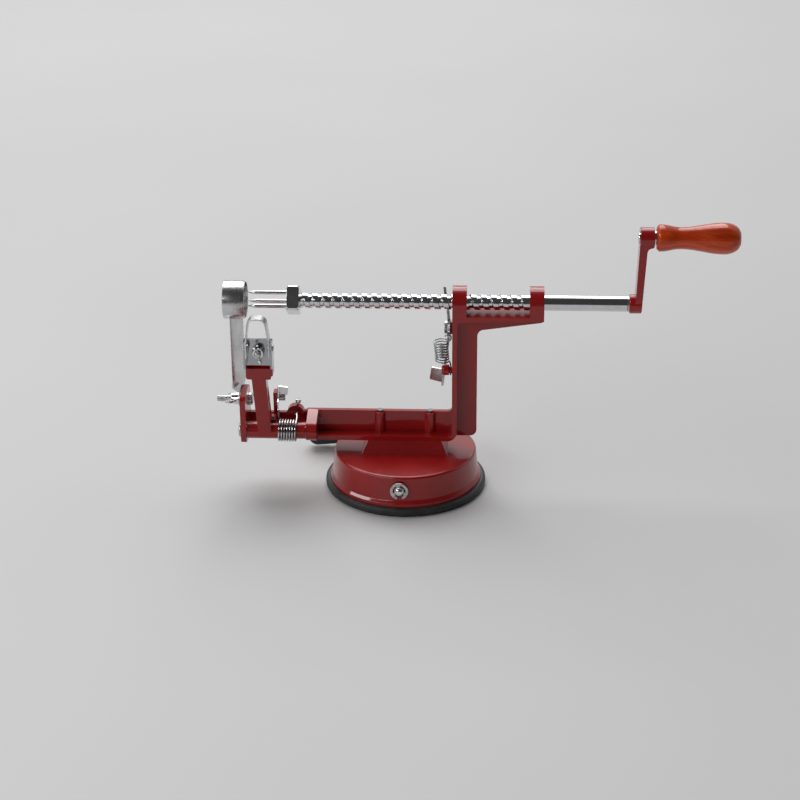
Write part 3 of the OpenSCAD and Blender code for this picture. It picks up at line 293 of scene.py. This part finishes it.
def black_plastic():
    """Moulded black plastic with a fine spark-eroded grain."""
    f = Finish("black_plastic", {"IOR": 1.49})
    here = f.place()
    rub = f.ramp(f.noise(here, 160, 3, 0.6), 0.4, 0.75)
    f.feed("Base Color", f.mix(rub, srgb(40, 41, 40), srgb(58, 59, 58)))
    f.feed("Roughness", 0.42 - 0.14 * rub)
    f.bump(f.noise(here, 1700, 2, 0.5), 0.025)
    return f.material


def varnished_wood():
    """Turned hardwood under a glossy orange-brown varnish: growth rings, pores and darker streaks."""
    f = Finish("varnished_wood", {"Specular IOR Level": 0.1, "Coat Roughness": 0.07, "Coat IOR": 1.5})
    to_axis = (0, 0, -HANDLE_Z * MM)
    heart_y, heart_z, ring_gap = 21 * MM, -12 * MM, 3.1 * MM
    here = f.place(shift=to_axis)
    warp = f.noise(f.place((14, 60, 60), to_axis), 1.0, 3, 0.5)
    y, z = f.part(here, "Y") - heart_y, f.part(here, "Z") - heart_z
    far = f.math("SQRT", y * y + z * z)
    rings = f.math("SINE", far * (TURN / ring_gap) + 9.0 * warp) * 0.5 + 0.5
    pores = f.ramp(f.noise(f.place((70, 1500, 1500), to_axis), 1.0, 2, 0.6), 0.5, 0.72)
    streak = f.ramp(f.noise(f.place((18, 210, 210), to_axis), 1.0, 3, 0.6), 0.48, 0.78)
    grown = f.mix(rings, srgb(188, 55, 8), srgb(214, 75, 16))
    stained = f.mix(streak * 0.75, grown, srgb(134, 32, 8))
    f.feed("Base Color", f.mix(pores * 0.4, stained, srgb(92, 26, 10)))
    f.feed("Roughness", 0.38 + 0.15 * pores)
    f.feed("Coat Weight", 0.82 - 0.25 * streak)
    f.bump(rings * 0.4 + (1 - pores) * 0.6, 0.02)
    return f.material


FINISHES = {
    "enamel": red_enamel(),
    "chrome": bright_plate(),
    "steel": plain_steel(),
    "blade_steel": rolled_strip(),
    "pad_rubber": pad_rubber(),
    "black_plastic": black_plastic(),
    "varnished_wood": varnished_wood(),
}

# Finishes of single nodes, in place of their slot's
OWN_FINISH = {
    "feed_shaft": bright_plate("turned_plate", (3.5, 0.15, 0.15), 0.010),
    "arm_spring": bright_plate("drawn_wire", lines=0.02, tone=0.75),
    "pawl_spring": bright_plate("dark_wire", lines=0.02, tone=0.4),
    "blade_bracket": bright_plate("pressed_plate", (1, 1, 0.05), tone=0.55),
    "frame_bolts": plain_steel("dull_steel", 0.3),
}


def finish_of(node):
    return OWN_FINISH.get(node, FINISHES[slot_of[node]])


# Making pieces

def piece_from(name, mesh):
    made = bpy.data.objects.new(name, mesh)
    bpy.context.scene.collection.objects.link(made)
    return made


def baked(piece):
    """The piece with its modifiers worked into a plain mesh."""
    bpy.context.view_layer.update()
    seen = piece.evaluated_get(bpy.context.evaluated_depsgraph_get())
    mesh = bpy.data.meshes.new_from_object(seen)
    piece.modifiers.clear()
    piece.data = mesh
    return piece


def shade(piece, crease):
    """Smooth shading that breaks at edges sharper than crease degrees."""
    piece.data.polygons.foreach_set("use_smooth", [True] * len(piece.data.polygons))
    piece.data.set_sharp_from_angle(angle=math.radians(crease))
    return piece


def round_edges(piece, width, steps, crease, mitre="MITER_SHARP"):
    """Rounds edges sharper than crease degrees by width millimetres."""
    edge = piece.modifiers.new("edge", "BEVEL")
    edge.width = width * MM
    edge.segments = steps
    edge.limit_method = "ANGLE"
    edge.angle_limit = math.radians(crease)
    edge.miter_outer = mitre
    return baked(piece)


def dress(piece, node):
    """Gives the piece its finish and lets it stand for a CAD node."""
    piece.data.materials.clear()
    piece.data.materials.append(finish_of(node))
    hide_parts(node)


def stand_for(piece, node):
    """Dresses the piece and makes it move with the node's body."""
    dress(piece, node)
    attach(piece, body_of[node])


def eased(node, width, steps):
    """A CAD node with its sharp edges rounded by width millimetres."""
    crease, weld, speck, flat = 34, 0.002 * MM, 0.001 * MM, math.radians(0.4)
    name = node + "_dressed"
    shell = bmesh.new()
    shell.from_mesh(frame["nodes"][node].data)
    bmesh.ops.remove_doubles(shell, verts=shell.verts, dist=weld)
    bmesh.ops.dissolve_degenerate(shell, dist=speck, edges=shell.edges)
    bmesh.ops.dissolve_limit(shell, angle_limit=flat, verts=shell.verts, edges=shell.edges)
    mesh = bpy.data.meshes.new(name)
    shell.to_mesh(mesh)
    shell.free()
    piece = round_edges(piece_from(name, mesh), width, steps, crease, "MITER_ARC")
    shade(piece, crease)
    weigh = piece.modifiers.new("weigh", "WEIGHTED_NORMAL")
    weigh.keep_sharp = True
    stand_for(baked(piece), node)


def lathe(name, profile, height, sides):
    """A turned piece round the line at y = 0 and that height, from points (x, radius) in millimetres."""
    weld = 0.0005 * MM
    rows = np.array(profile) * MM
    angles = np.arange(sides) * TURN / sides
    points = [(x, r * math.cos(a), height * MM + r * math.sin(a)) for x, r in rows for a in angles]
    faces = []
    for i in range(len(rows) - 1):
        for s in range(sides):
            t = (s + 1) % sides
            faces.append((i * sides + s, i * sides + t, (i + 1) * sides + t, (i + 1) * sides + s))
    mesh = bpy.data.meshes.new(name)
    mesh.from_pydata(points, [], faces)
    shell = bmesh.new()
    shell.from_mesh(mesh)
    bmesh.ops.remove_doubles(shell, verts=shell.verts, dist=weld)
    bmesh.ops.dissolve_degenerate(shell, dist=weld, edges=shell.edges)
    bmesh.ops.recalc_face_normals(shell, faces=shell.faces)
    shell.to_mesh(mesh)
    shell.free()
    return piece_from(name, mesh)


def through(points, steps):
    """Smooth curve through points, with so many steps between each two."""
    p = np.array(points, float)
    p = np.vstack([2 * p[0] - p[1], p, 2 * p[-1] - p[-2]])
    out = []
    for i in range(1, len(p) - 2):
        a, b, c, d = p[i - 1:i + 3]
        for k in range(steps):
            t = k / steps
            out.append(0.5 * (2 * b + (c - a) * t + (2 * a - 5 * b + 4 * c - d) * t ** 2
                              + (3 * b - a - 3 * c + d) * t ** 3))
    return np.array(out + [p[-2]])


def joined(name, parts):
    """One piece from several."""
    shell = bmesh.new()
    for part in parts:
        shell.from_mesh(part.data)
        bpy.data.objects.remove(part)
    mesh = bpy.data.meshes.new(name)
    shell.to_mesh(mesh)
    shell.free()
    return piece_from(name, mesh)


# Geometry Nodes

class Maker(Graph):
    """A geometry tree with named inputs, which makes plain meshes."""

    def __init__(self, name, inputs):
        super().__init__(bpy.data.node_groups.new(name, "GeometryNodeTree"))
        face = self.tree.interface
        face.new_socket("Geometry", in_out="INPUT", socket_type="NodeSocketGeometry")
        self.sockets = {n: face.new_socket(n, in_out="INPUT", socket_type="NodeSocket" + kind)
                        for n, kind in inputs.items()}
        face.new_socket("Geometry", in_out="OUTPUT", socket_type="NodeSocketGeometry")
        source = self.tree.nodes.new("NodeGroupInput")
        self.given = {socket.name: Value(self, socket) for socket in source.outputs if socket.name}

    def end(self, shape):
        """Closes the tree: smooth, real geometry with its material."""
        smooth = self.node("GeometryNodeSetShadeSmooth", None, {"Geometry": shape})
        real = self.node("GeometryNodeRealizeInstances", None, {"Geometry": smooth})
        dressed = self.node("GeometryNodeSetMaterial", None,
                            {"Geometry": real, "Material": self.given["Material"]})
        sink = self.tree.nodes.new("NodeGroupOutput")
        self.tree.links.new(dressed.socket, sink.inputs[0])

    def make(self, name, values, points=()):
        """A piece from the tree, along points in millimetres where the tree follows a line."""
        mesh = bpy.data.meshes.new(name)
        links = [(k, k + 1) for k in range(len(points) - 1)]
        mesh.from_pydata([[c * MM for c in point] for point in points], links, [])
        piece = piece_from(name, mesh)
        modifier = piece.modifiers.new("maker", "NODES")
        modifier.node_group = self.tree
        for key, value in values.items():
            modifier[self.sockets[key].identifier] = value
        return baked(piece)


def wire_maker():
    """Round wire along the points of a line, with smooth bends."""
    g = Maker("bent_wire", {"Diameter": "Float", "Sides": "Int", "Steps": "Int", "Material": "Material"})
    line = g.node("GeometryNodeMeshToCurve", None, {"Mesh": g.given["Geometry"]})
    line = g.node("GeometryNodeCurveSplineType", {"spline_type": "CATMULL_ROM"}, {"Curve": line})
    line = g.node("GeometryNodeSetSplineResolution", None, {"Geometry": line, "Resolution": g.given["Steps"]})
    ring = g.node("GeometryNodeCurvePrimitiveCircle", None,
                  {"Resolution": g.given["Sides"], "Radius": g.given["Diameter"] * 0.5})
    tube = g.node("GeometryNodeCurveToMesh", None, {"Curve": line, "Profile Curve": ring, "Fill Caps": True})
    g.end(tube)
    return g


# Cross-section of one pitch of thread: (half pitches from a groove's middle, share of the groove's depth)
EASY_FLANK = [(0.0, 1.0), (0.28, 1.0), (0.33, 0.97), (0.36, 0.91), (0.51, 0.10), (0.54, 0.03), (0.60, 0.0)]
STEEP_FLANK = [(0.0, 1.0), (0.30, 1.0), (0.345, 0.97), (0.365, 0.85), (0.43, 0.13), (0.45, 0.02), (0.49, 0.0)]
CREST = [(1.0, 0.0)]
THREAD_SECTION = EASY_FLANK + CREST + [(2.0 - place, share) for place, share in reversed(STEEP_FLANK)]


def thread_maker():
    """A screw thread along X whose groove middle passes +Y at Groove place, cut off square at both ends."""
    weld, spare = 0.0008 * MM, 0.0005 * MM
    g = Maker("screw_thread", {"Start": "Float", "End": "Float", "Pitch": "Float", "Groove place": "Float",
                               "Radius": "Float", "Depth": "Float", "Height": "Float", "Sides": "Int",
                               "Material": "Material"})
    i = g.given
    first = g.math("FLOOR", (i["Start"] - i["Groove place"]) / i["Pitch"]) - 1.0
    turns = g.math("CEIL", (i["End"] - i["Start"]) / i["Pitch"]) + 3.0
    rows = turns * i["Sides"] + 1.0
    sheet = g.node("GeometryNodeMeshGrid", None,
                   {"Size X": 1.0, "Size Y": 1.0, "Vertices X": rows, "Vertices Y": len(THREAD_SECTION)})
    where = g.node("GeometryNodeInputPosition")
    turned = (g.part(where, "X") + 0.5) * turns
    column = g.math("ROUND", (g.part(where, "Y") + 0.5) * (len(THREAD_SECTION) - 1.0))

    def chosen(values):
        picks = {"Index": column}
        picks.update({str(k): v for k, v in enumerate(values)})
        return g.node("GeometryNodeIndexSwitch", {"data_type": "FLOAT", "choices": len(values)}, picks)

    offset = chosen([place * 0.5 for place, _ in THREAD_SECTION])
    depth = chosen([share for _, share in THREAD_SECTION])
    angle = turned * TURN
    x = i["Groove place"] + i["Pitch"] * (first + turned + offset)
    x = g.math("MINIMUM", g.math("MAXIMUM", x, i["Start"]), i["End"])
    radius = i["Radius"] - i["Depth"] * depth
    spot = g.node("ShaderNodeCombineXYZ", None, {"X": x, "Y": radius * g.math("COSINE", angle),
                                                 "Z": i["Height"] + radius * g.math("SINE", angle)})
    wound = g.node("GeometryNodeSetPosition", None, {"Geometry": sheet, "Position": spot})
    welded = g.node("GeometryNodeMergeByDistance", None, {"Geometry": wound, "Distance": weld})
    x_now = g.part(g.node("GeometryNodeInputPosition"), "X")
    outside = (g.math("LESS_THAN", x_now, i["Start"] + spare)
               + g.math("GREATER_THAN", x_now, i["End"] - spare))
    g.end(g.node("GeometryNodeDeleteGeometry", {"domain": "FACE"},
                 {"Geometry": welded, "Selection": g.math("GREATER_THAN", outside, 0.5)}))
    return g


def strip_maker():
    """An upright strip of sheet with a round foot, a twist and a set part way up, a ground front edge
    and a top that follows a ring round a level axis."""
    corner, grind_w, grind_rise, ground_off = 4 * MM, 2.4 * MM, 5 * MM, 0.82
    g = Maker("twisted_strip", {"Foot": "Float", "Axis height": "Float", "Axis radius": "Float",
                                "Twist start": "Float", "Twist end": "Float", "Twist": "Float",
                                "Set": "Float", "Half width": "Float", "Thickness": "Float",
                                "Place": "Float", "Material": "Material"})
    i = g.given
    block = g.node("GeometryNodeMeshCube", None, {"Size": (1, 1, 1), "Vertices X": 2, "Vertices Y": 19,
                                                  "Vertices Z": 141})
    here = g.node("GeometryNodeInputPosition")
    side, across, along = (g.part(here, axis) for axis in "XYZ")

    def share(value, start, end, kind="LINEAR"):
        return g.node("ShaderNodeMapRange", {"interpolation_type": kind},
                      {"Value": value, "From Min": start, "From Max": end})

    aside = across * 2.0 * i["Half width"] * g.math("COSINE", i["Twist"])
    top = i["Axis height"] - g.math("SQRT", i["Axis radius"] * i["Axis radius"] - aside * aside)
    z = i["Foot"] + (top - i["Foot"]) * (along + 0.5)
    short = g.math("MAXIMUM", corner - (z - i["Foot"]), 0.0)
    inset = corner - g.math("SQRT", g.math("MAXIMUM", corner * corner - short * short, 0.0))
    half = i["Half width"] - inset
    y = across * 2.0 * half
    ground = share(z, i["Twist end"], i["Twist end"] + grind_rise) * (1 - share(y + half, 0.0, grind_w))
    x = side * i["Thickness"] * (1 - ground_off * ground)
    bent = share(z, i["Twist start"], i["Twist end"], "SMOOTHSTEP")
    turn = g.math("COSINE", i["Twist"] * bent)
    lean = g.math("SINE", i["Twist"] * bent)
    spot = g.node("ShaderNodeCombineXYZ", None, {"X": i["Place"] - i["Set"] * bent + x * turn - y * lean,
                                                 "Y": x * lean + y * turn, "Z": z})
    g.end(g.node("GeometryNodeSetPosition", None, {"Geometry": block, "Position": spot}))
    return g


WIRE = wire_maker()
THREAD = thread_maker()
STRIP = strip_maker()


# Wound springs, along the same paths as their CAD solids

POINTS_A_TURN = 8


def arm_spring_path():
    """From the arm's upright leg round the sleeve to the leg that lies under the hump's screw."""
    coils, pitch = 7, 1.65
    y, z = ARM_Y + ARM_COIL_R, ARM_Z
    points = [(ARM_COIL_LEFT - 0.2, y - 2.2, z + 12), (ARM_COIL_LEFT - 0.2, y - 1, z + 9.48),
              (ARM_COIL_LEFT - 0.2, y, z + 6), (ARM_COIL_LEFT - 0.1, y + 0.1, z + 2.52)]
    for k in range(coils * POINTS_A_TURN - 2):
        turned = k / POINTS_A_TURN
        a = -TURN * turned
        points.append((ARM_COIL_LEFT + pitch * turned, ARM_Y + ARM_COIL_R * math.cos(a),
                       ARM_Z + ARM_COIL_R * math.sin(a)))
    return points + [(ARM_LEG_X + 0.4, ARM_Y + 2.2, ARM_LEG_Z - 0.9), (ARM_LEG_X, ARM_Y + 5, ARM_LEG_Z),
                     (ARM_LEG_X, -3.7, ARM_LEG_Z), (ARM_LEG_X, 0, ARM_LEG_Z)]


def pawl_spring_path():
    """From the loop round the cast peg up the coil to the hook through the pawl's hole."""
    coils, loop_r, loop_x, rise_x = 8, 3.0, 28.11, 28.3
    sheet, y, hook, peg = PAWL_SHEET_X, PAWL_SPRING_Y, PAWL_HOOK_Z, PAWL_PEG_Z
    low = Vector((sheet - 2.9, y, peg + 5.8))
    high = Vector((sheet - 4, y, hook - 3.5))
    points = [(loop_x, y - loop_r * 0.94 - 0.34, peg - loop_r * 0.34 + 0.94)]
    for a in range(200, 351, 30):
        turn = math.radians(a)
        points.append((loop_x, y + loop_r * math.cos(turn), peg + loop_r * math.sin(turn)))
    points += [(loop_x, y + loop_r, peg + 1.6), (loop_x - 0.3, y + 2, peg + 3.8)]
    for k in range(coils * POINTS_A_TURN + 1):
        a = -TURN * k / POINTS_A_TURN
        middle = low.lerp(high, k / (coils * POINTS_A_TURN))
        points.append(tuple(middle + Vector((math.cos(a), math.sin(a), 0)) * PAWL_COIL_R))
    points += [(rise_x - 1, y - 0.3, high.z + 0.1), (rise_x - 0.2, y - 0.3, high.z + 0.6),
               (rise_x, y - 0.2, hook - 2), (rise_x, y - 0.1, hook - 0.9), (rise_x - 0.4, y, hook - 0.1)]
    return points + [(sheet + 0.75, y, hook + 0.1), (sheet - 0.7, y, hook - 0.1),
                     (sheet - 1.6, y, hook - 0.9)]


def wound(name, node, path, diameter, moving, start, end):
    """A spring of round wire along the path, with the node's finish, left fixed where it is made."""
    piece = WIRE.make(name, {"Diameter": diameter * MM, "Sides": 14, "Steps": 6,
                             "Material": finish_of(node)}, path)
    dress(piece, node)
    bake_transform(piece)


wound("arm_spring_coil", "arm_spring", arm_spring_path(), ARM_WIRE_D, "arm",
      start=(-66.3, ARM_Y, ARM_Z), end=(-77.7, ARM_Y, ARM_Z))
wound("pawl_spring_coil", "pawl_spring", pawl_spring_path(), PAWL_WIRE_D, "pawl",
      start=(PAWL_SHEET_X, PAWL_SPRING_Y, 81), end=(PAWL_SHEET_X, PAWL_SPRING_Y, 98))


# Screw shaft

def feed_screw():
    """Coarse thread that runs out into the plain, polished end of the shaft."""
    ease, overlap = 0.25, 0.6
    thread = THREAD.make("thread", {
        "Start": THREAD_X * MM, "End": THREAD_END * MM, "Pitch": PITCH * MM, "Groove place": TOOTH_X * MM,
        "Radius": SHAFT_R * MM, "Depth": GROOVE_DEPTH * MM, "Height": SHAFT_Z * MM, "Sides": 48,
        "Material": finish_of("feed_shaft")})
    plain = lathe("plain", [(THREAD_END, 0), (THREAD_END, SHAFT_R), (SHOULDER_X - ease, SHAFT_R),
                            (SHOULDER_X, SHAFT_R - ease), (SHOULDER_X, SPIGOT_R), (SPIGOT_END, SPIGOT_R),
                            (SPIGOT_END, 0)], SHAFT_Z, 64)
    left, right = THREAD_X - STUB_L, THREAD_X + overlap
    stub = lathe("stub", [(left, 0), (left, STUB_R), (right, STUB_R), (right, 0)], SHAFT_Z, 48)
    stand_for(shade(joined("feed_screw", [thread, plain, stub]), 30), "feed_shaft")


feed_screw()


# Turned wooden grip

def wood_grip():
    """A lip, a waist, a full end that rounds over, and a bore with a sunk hole for the axle's head."""
    lip_r, waist_r, full_r, sink_r = GRIP_D * 0.43, GRIP_D * 0.348, GRIP_D / 2, 3.9
    lip_x, waist_x, full_x, sink_x = 2.4, GRIP_L * 0.29, GRIP_L * 0.81, GRIP_L - 6

    def swell(start, end, steps):
        """Points of a soft S between two points (x, radius), without the first."""
        (x0, r0), (x1, r1) = start, end
        return [(x0 + (x1 - x0) * k / steps, r0 + (r1 - r0) * (1 - math.cos(math.pi * k / steps)) / 2)
                for k in range(1, steps + 1)]

    outer = [(0, lip_r - 2), (0.25, lip_r - 1.35), (1.1, lip_r - 0.45), (1.9, lip_r), (lip_x, lip_r)]
    outer += swell((lip_x, lip_r), (waist_x, waist_r), 8)
    outer += swell((waist_x, waist_r), (full_x, full_r), 10)
    for degrees in range(10, 90, 10):
        a = math.radians(degrees)
        outer.append((full_x + (GRIP_L - full_x) * math.sin(a), full_r * (0.36 + 0.64 * math.cos(a))))
    outer += [(GRIP_L, sink_r + 0.5), (GRIP_L, sink_r + 0.3)]
    profile = [(0, GRIP_BORE_R)] + [tuple(p) for p in through(outer, 3)]
    profile += [(GRIP_L - 0.3, sink_r), (sink_x, sink_r), (sink_x, GRIP_BORE_R), (0, GRIP_BORE_R)]
    piece = lathe("wood_grip", [(GRIP_X + x, r) for x, r in profile], HANDLE_Z, 96)
    stand_for(shade(piece, 40), "handle_grip")


wood_grip()


# Slicing blade with its coring ring

def coring_blade():
    """The twisted strip runs up into the ring, which is ground sharp towards the fork."""
    ease, grind_l, edge_t = 0.2, 1.6, 0.25
    strip = STRIP.make("strip", {
        "Foot": STRIP_FOOT_Z * MM, "Axis height": SHAFT_Z * MM, "Axis radius": STRIP_TOP_R * MM,
        "Twist start": TWIST_LOW_Z * MM, "Twist end": TWIST_HIGH_Z * MM, "Twist": TWIST_ANGLE,
        "Set": TWIST_SET * MM, "Half width": STRIP_W / 2 * MM, "Thickness": STRIP_T * MM,
        "Place": STRIP_X * MM, "Material": finish_of("slicer_blade")})
    ring = lathe("ring", [(RING_LEFT, RING_INNER_R + ease), (RING_LEFT, RING_OUTER_R - ease),
                          (RING_LEFT + ease, RING_OUTER_R), (RING_RIGHT - grind_l, RING_OUTER_R),
                          (RING_RIGHT, RING_INNER_R + edge_t), (RING_RIGHT, RING_INNER_R),
                          (RING_LEFT + ease, RING_INNER_R), (RING_LEFT, RING_INNER_R + ease)], SHAFT_Z, 96)
    round_edges(strip, width=0.12, steps=2, crease=60)
    stand_for(shade(joined("coring_blade", [strip, ring]), 32), "slicer_blade")


coring_blade()


# Clamp bolt of the slicing blade, threaded where it shows past its wing nut

def clamp_bolt():
    """A domed head, a plain shank and a threaded end."""
    pitch, depth, root_r, tip_r, head_r, dome = 0.8, 0.34, 1.66, 1.3, 4.0, 1.4
    head = [(CLAMP_HEAD_X - dome * (1 - math.cos(a)), head_r - dome + dome * math.sin(a))
            for a in (math.radians(degrees) for degrees in range(0, 91, 15))]
    shank = lathe("shank", [(CLAMP_HEAD_X, 0)] + head + [
        (CLAMP_SEAT_X, head_r), (CLAMP_SEAT_X, CLAMP_R), (CLAMP_NUT_X, CLAMP_R), (CLAMP_NUT_X, root_r),
        (CLAMP_TIP_X + 0.5, root_r), (CLAMP_TIP_X, tip_r), (CLAMP_TIP_X, 0)], CLAMP_Z, 40)
    ridge = THREAD.make("ridge", {
        "Start": (CLAMP_TIP_X + 0.35) * MM, "End": CLAMP_NUT_X * MM, "Pitch": pitch * MM,
        "Groove place": (CLAMP_NUT_X - 0.5) * MM, "Radius": CLAMP_R * MM, "Depth": depth * MM,
        "Height": CLAMP_Z * MM, "Sides": 24, "Material": finish_of("slicer_bolt")})
    stand_for(shade(joined("clamp_bolt", [shank, ridge]), 35), "slicer_bolt")


clamp_bolt()


# Castings and sheet metal with eased edges: width in millimetres and steps

EASED = {
    "main_frame": (0.7, 3),
    "base_housing": (0.8, 3),
    "peeler_arm": (0.6, 3),
    "crank_arm": (0.5, 3),
    "suction_pad": (0.3, 2),
    "lever_shaft": (0.2, 2),
    "shaft_clip": (0.12, 2),
    "suction_lever": (0.4, 2),
    "lever_grip": (0.8, 3),
    "frame_bolts": (0.15, 2),
    "fork_collar": (0.25, 2),
    "fork_prongs": (0.05, 2),
    "crank_screw": (0.1, 2),
    "handle_axle": (0.15, 2),
    "handle_washer": (0.12, 2),
    "feed_pawl": (0.15, 2),
    "pawl_pivot_screw": (0.12, 2),
    "arm_rod": (0.15, 2),
    "blade_bracket": (0.25, 2),
    "peeler_blade": (0.12, 2),
    "blade_rivets": (0.1, 2),
    "bracket_bolt": (0.15, 2),
    "bracket_wing_nut": (0.2, 2),
    "slicer_washer": (0.12, 2),
    "slicer_wing_nut": (0.25, 2),
    "arm_catch": (0.15, 2),
    "catch_screw": (0.12, 2),
    "leg_screw": (0.12, 2),
}

for node, (width, steps) in EASED.items():
    eased(node, width, steps)

for node in ("suction_stem", "crank_washer"):
    solid = frame["nodes"][node]
    solid.data.materials.clear()
    solid.data.materials.append(finish_of(node))


# Stage: pale floor, soft light and the photograph's camera

def floor():
    """Pale paper, a little under the pad."""
    half, drop = 9.0, 0.3 * MM
    mesh = bpy.data.meshes.new("floor")
    corners = [(-half, -half, 0), (half, -half, 0), (half, half, 0), (-half, half, 0)]
    mesh.from_pydata(corners, [], [(0, 1, 2, 3)])
    sheet = piece_from("floor", mesh)
    sheet.location.z = -drop
    f = Finish("floor_paper", {"Roughness": 0.75, "IOR": 1.3})
    tone = f.noise(f.place(), 2.2, 2, 0.5)
    f.feed("Base Color", f.mix(tone, srgb(194, 194, 194), srgb(202, 202, 202)))
    mesh.materials.append(f.material)


def softbox(name, place, aim, size, watts):
    """A rectangular lamp that shines from its place towards its aim."""
    lamp = bpy.data.lights.new(name, "AREA")
    lamp.shape = "RECTANGLE"
    lamp.size, lamp.size_y = size
    lamp.energy = watts
    box = bpy.data.objects.new(name, lamp)
    bpy.context.scene.collection.objects.link(box)
    box.location = place
    box.rotation_euler = (Vector(aim) - Vector(place)).to_track_quat("-Z", "Y").to_euler()


def room():
    """Dim room: dark on the camera's side, pale behind."""
    world = bpy.data.worlds.new("room")
    bpy.context.scene.world = world
    world.use_nodes = True
    g = Graph(world.node_tree)
    depth = g.part(g.node("ShaderNodeTexCoord", output="Generated"), "Y")
    level = g.node("ShaderNodeMapRange", {"interpolation_type": "SMOOTHSTEP"},
                   {"Value": depth, "From Min": -0.2, "From Max": 0.4, "To Min": 0.045, "To Max": 0.55})
    colour = g.node("ShaderNodeCombineColor", None, {"Red": level, "Green": level, "Blue": level * 1.01})
    world.node_tree.links.new(colour.socket, world.node_tree.nodes["Background"].inputs["Color"])


def camera():
    """The photograph's view, fitted to the pad's rim and the shaft."""
    pitch, yaw, roll = math.radians(24.14), math.radians(3.0), math.radians(-0.45)
    stand = Vector((-0.003218, -1.06579, 0.53334))
    ahead = Vector((0, math.cos(pitch), -math.sin(pitch)))
    right = Vector((1, 0, 0))
    up = right.cross(ahead)
    turned_right = right * math.cos(roll) + up * math.sin(roll)
    turned_up = up * math.cos(roll) - right * math.sin(roll)
    axes = Matrix((turned_right, turned_up, -ahead)).transposed()
    spin = Matrix.Rotation(yaw, 3, "Z")
    lens = bpy.data.cameras.new("camera")
    lens.lens = 85
    lens.sensor_width = 36
    eye = bpy.data.objects.new("camera", lens)
    bpy.context.scene.collection.objects.link(eye)
    eye.matrix_world = Matrix.Translation(spin @ stand) @ (spin @ axes).to_4x4()
    bpy.context.scene.camera = eye


floor()
softbox("overhead", place=(-0.3, 1.59, 2.24), aim=(0.02, 0.0, 0.06), size=(2.1, 2.4), watts=61)
softbox("left_fill", place=(-1.05, -0.75, 0.85), aim=(0.0, 0.0, 0.06), size=(2.0, 0.2), watts=11)
room()
camera()
bpy.context.scene.view_settings.view_transform = "Standard"
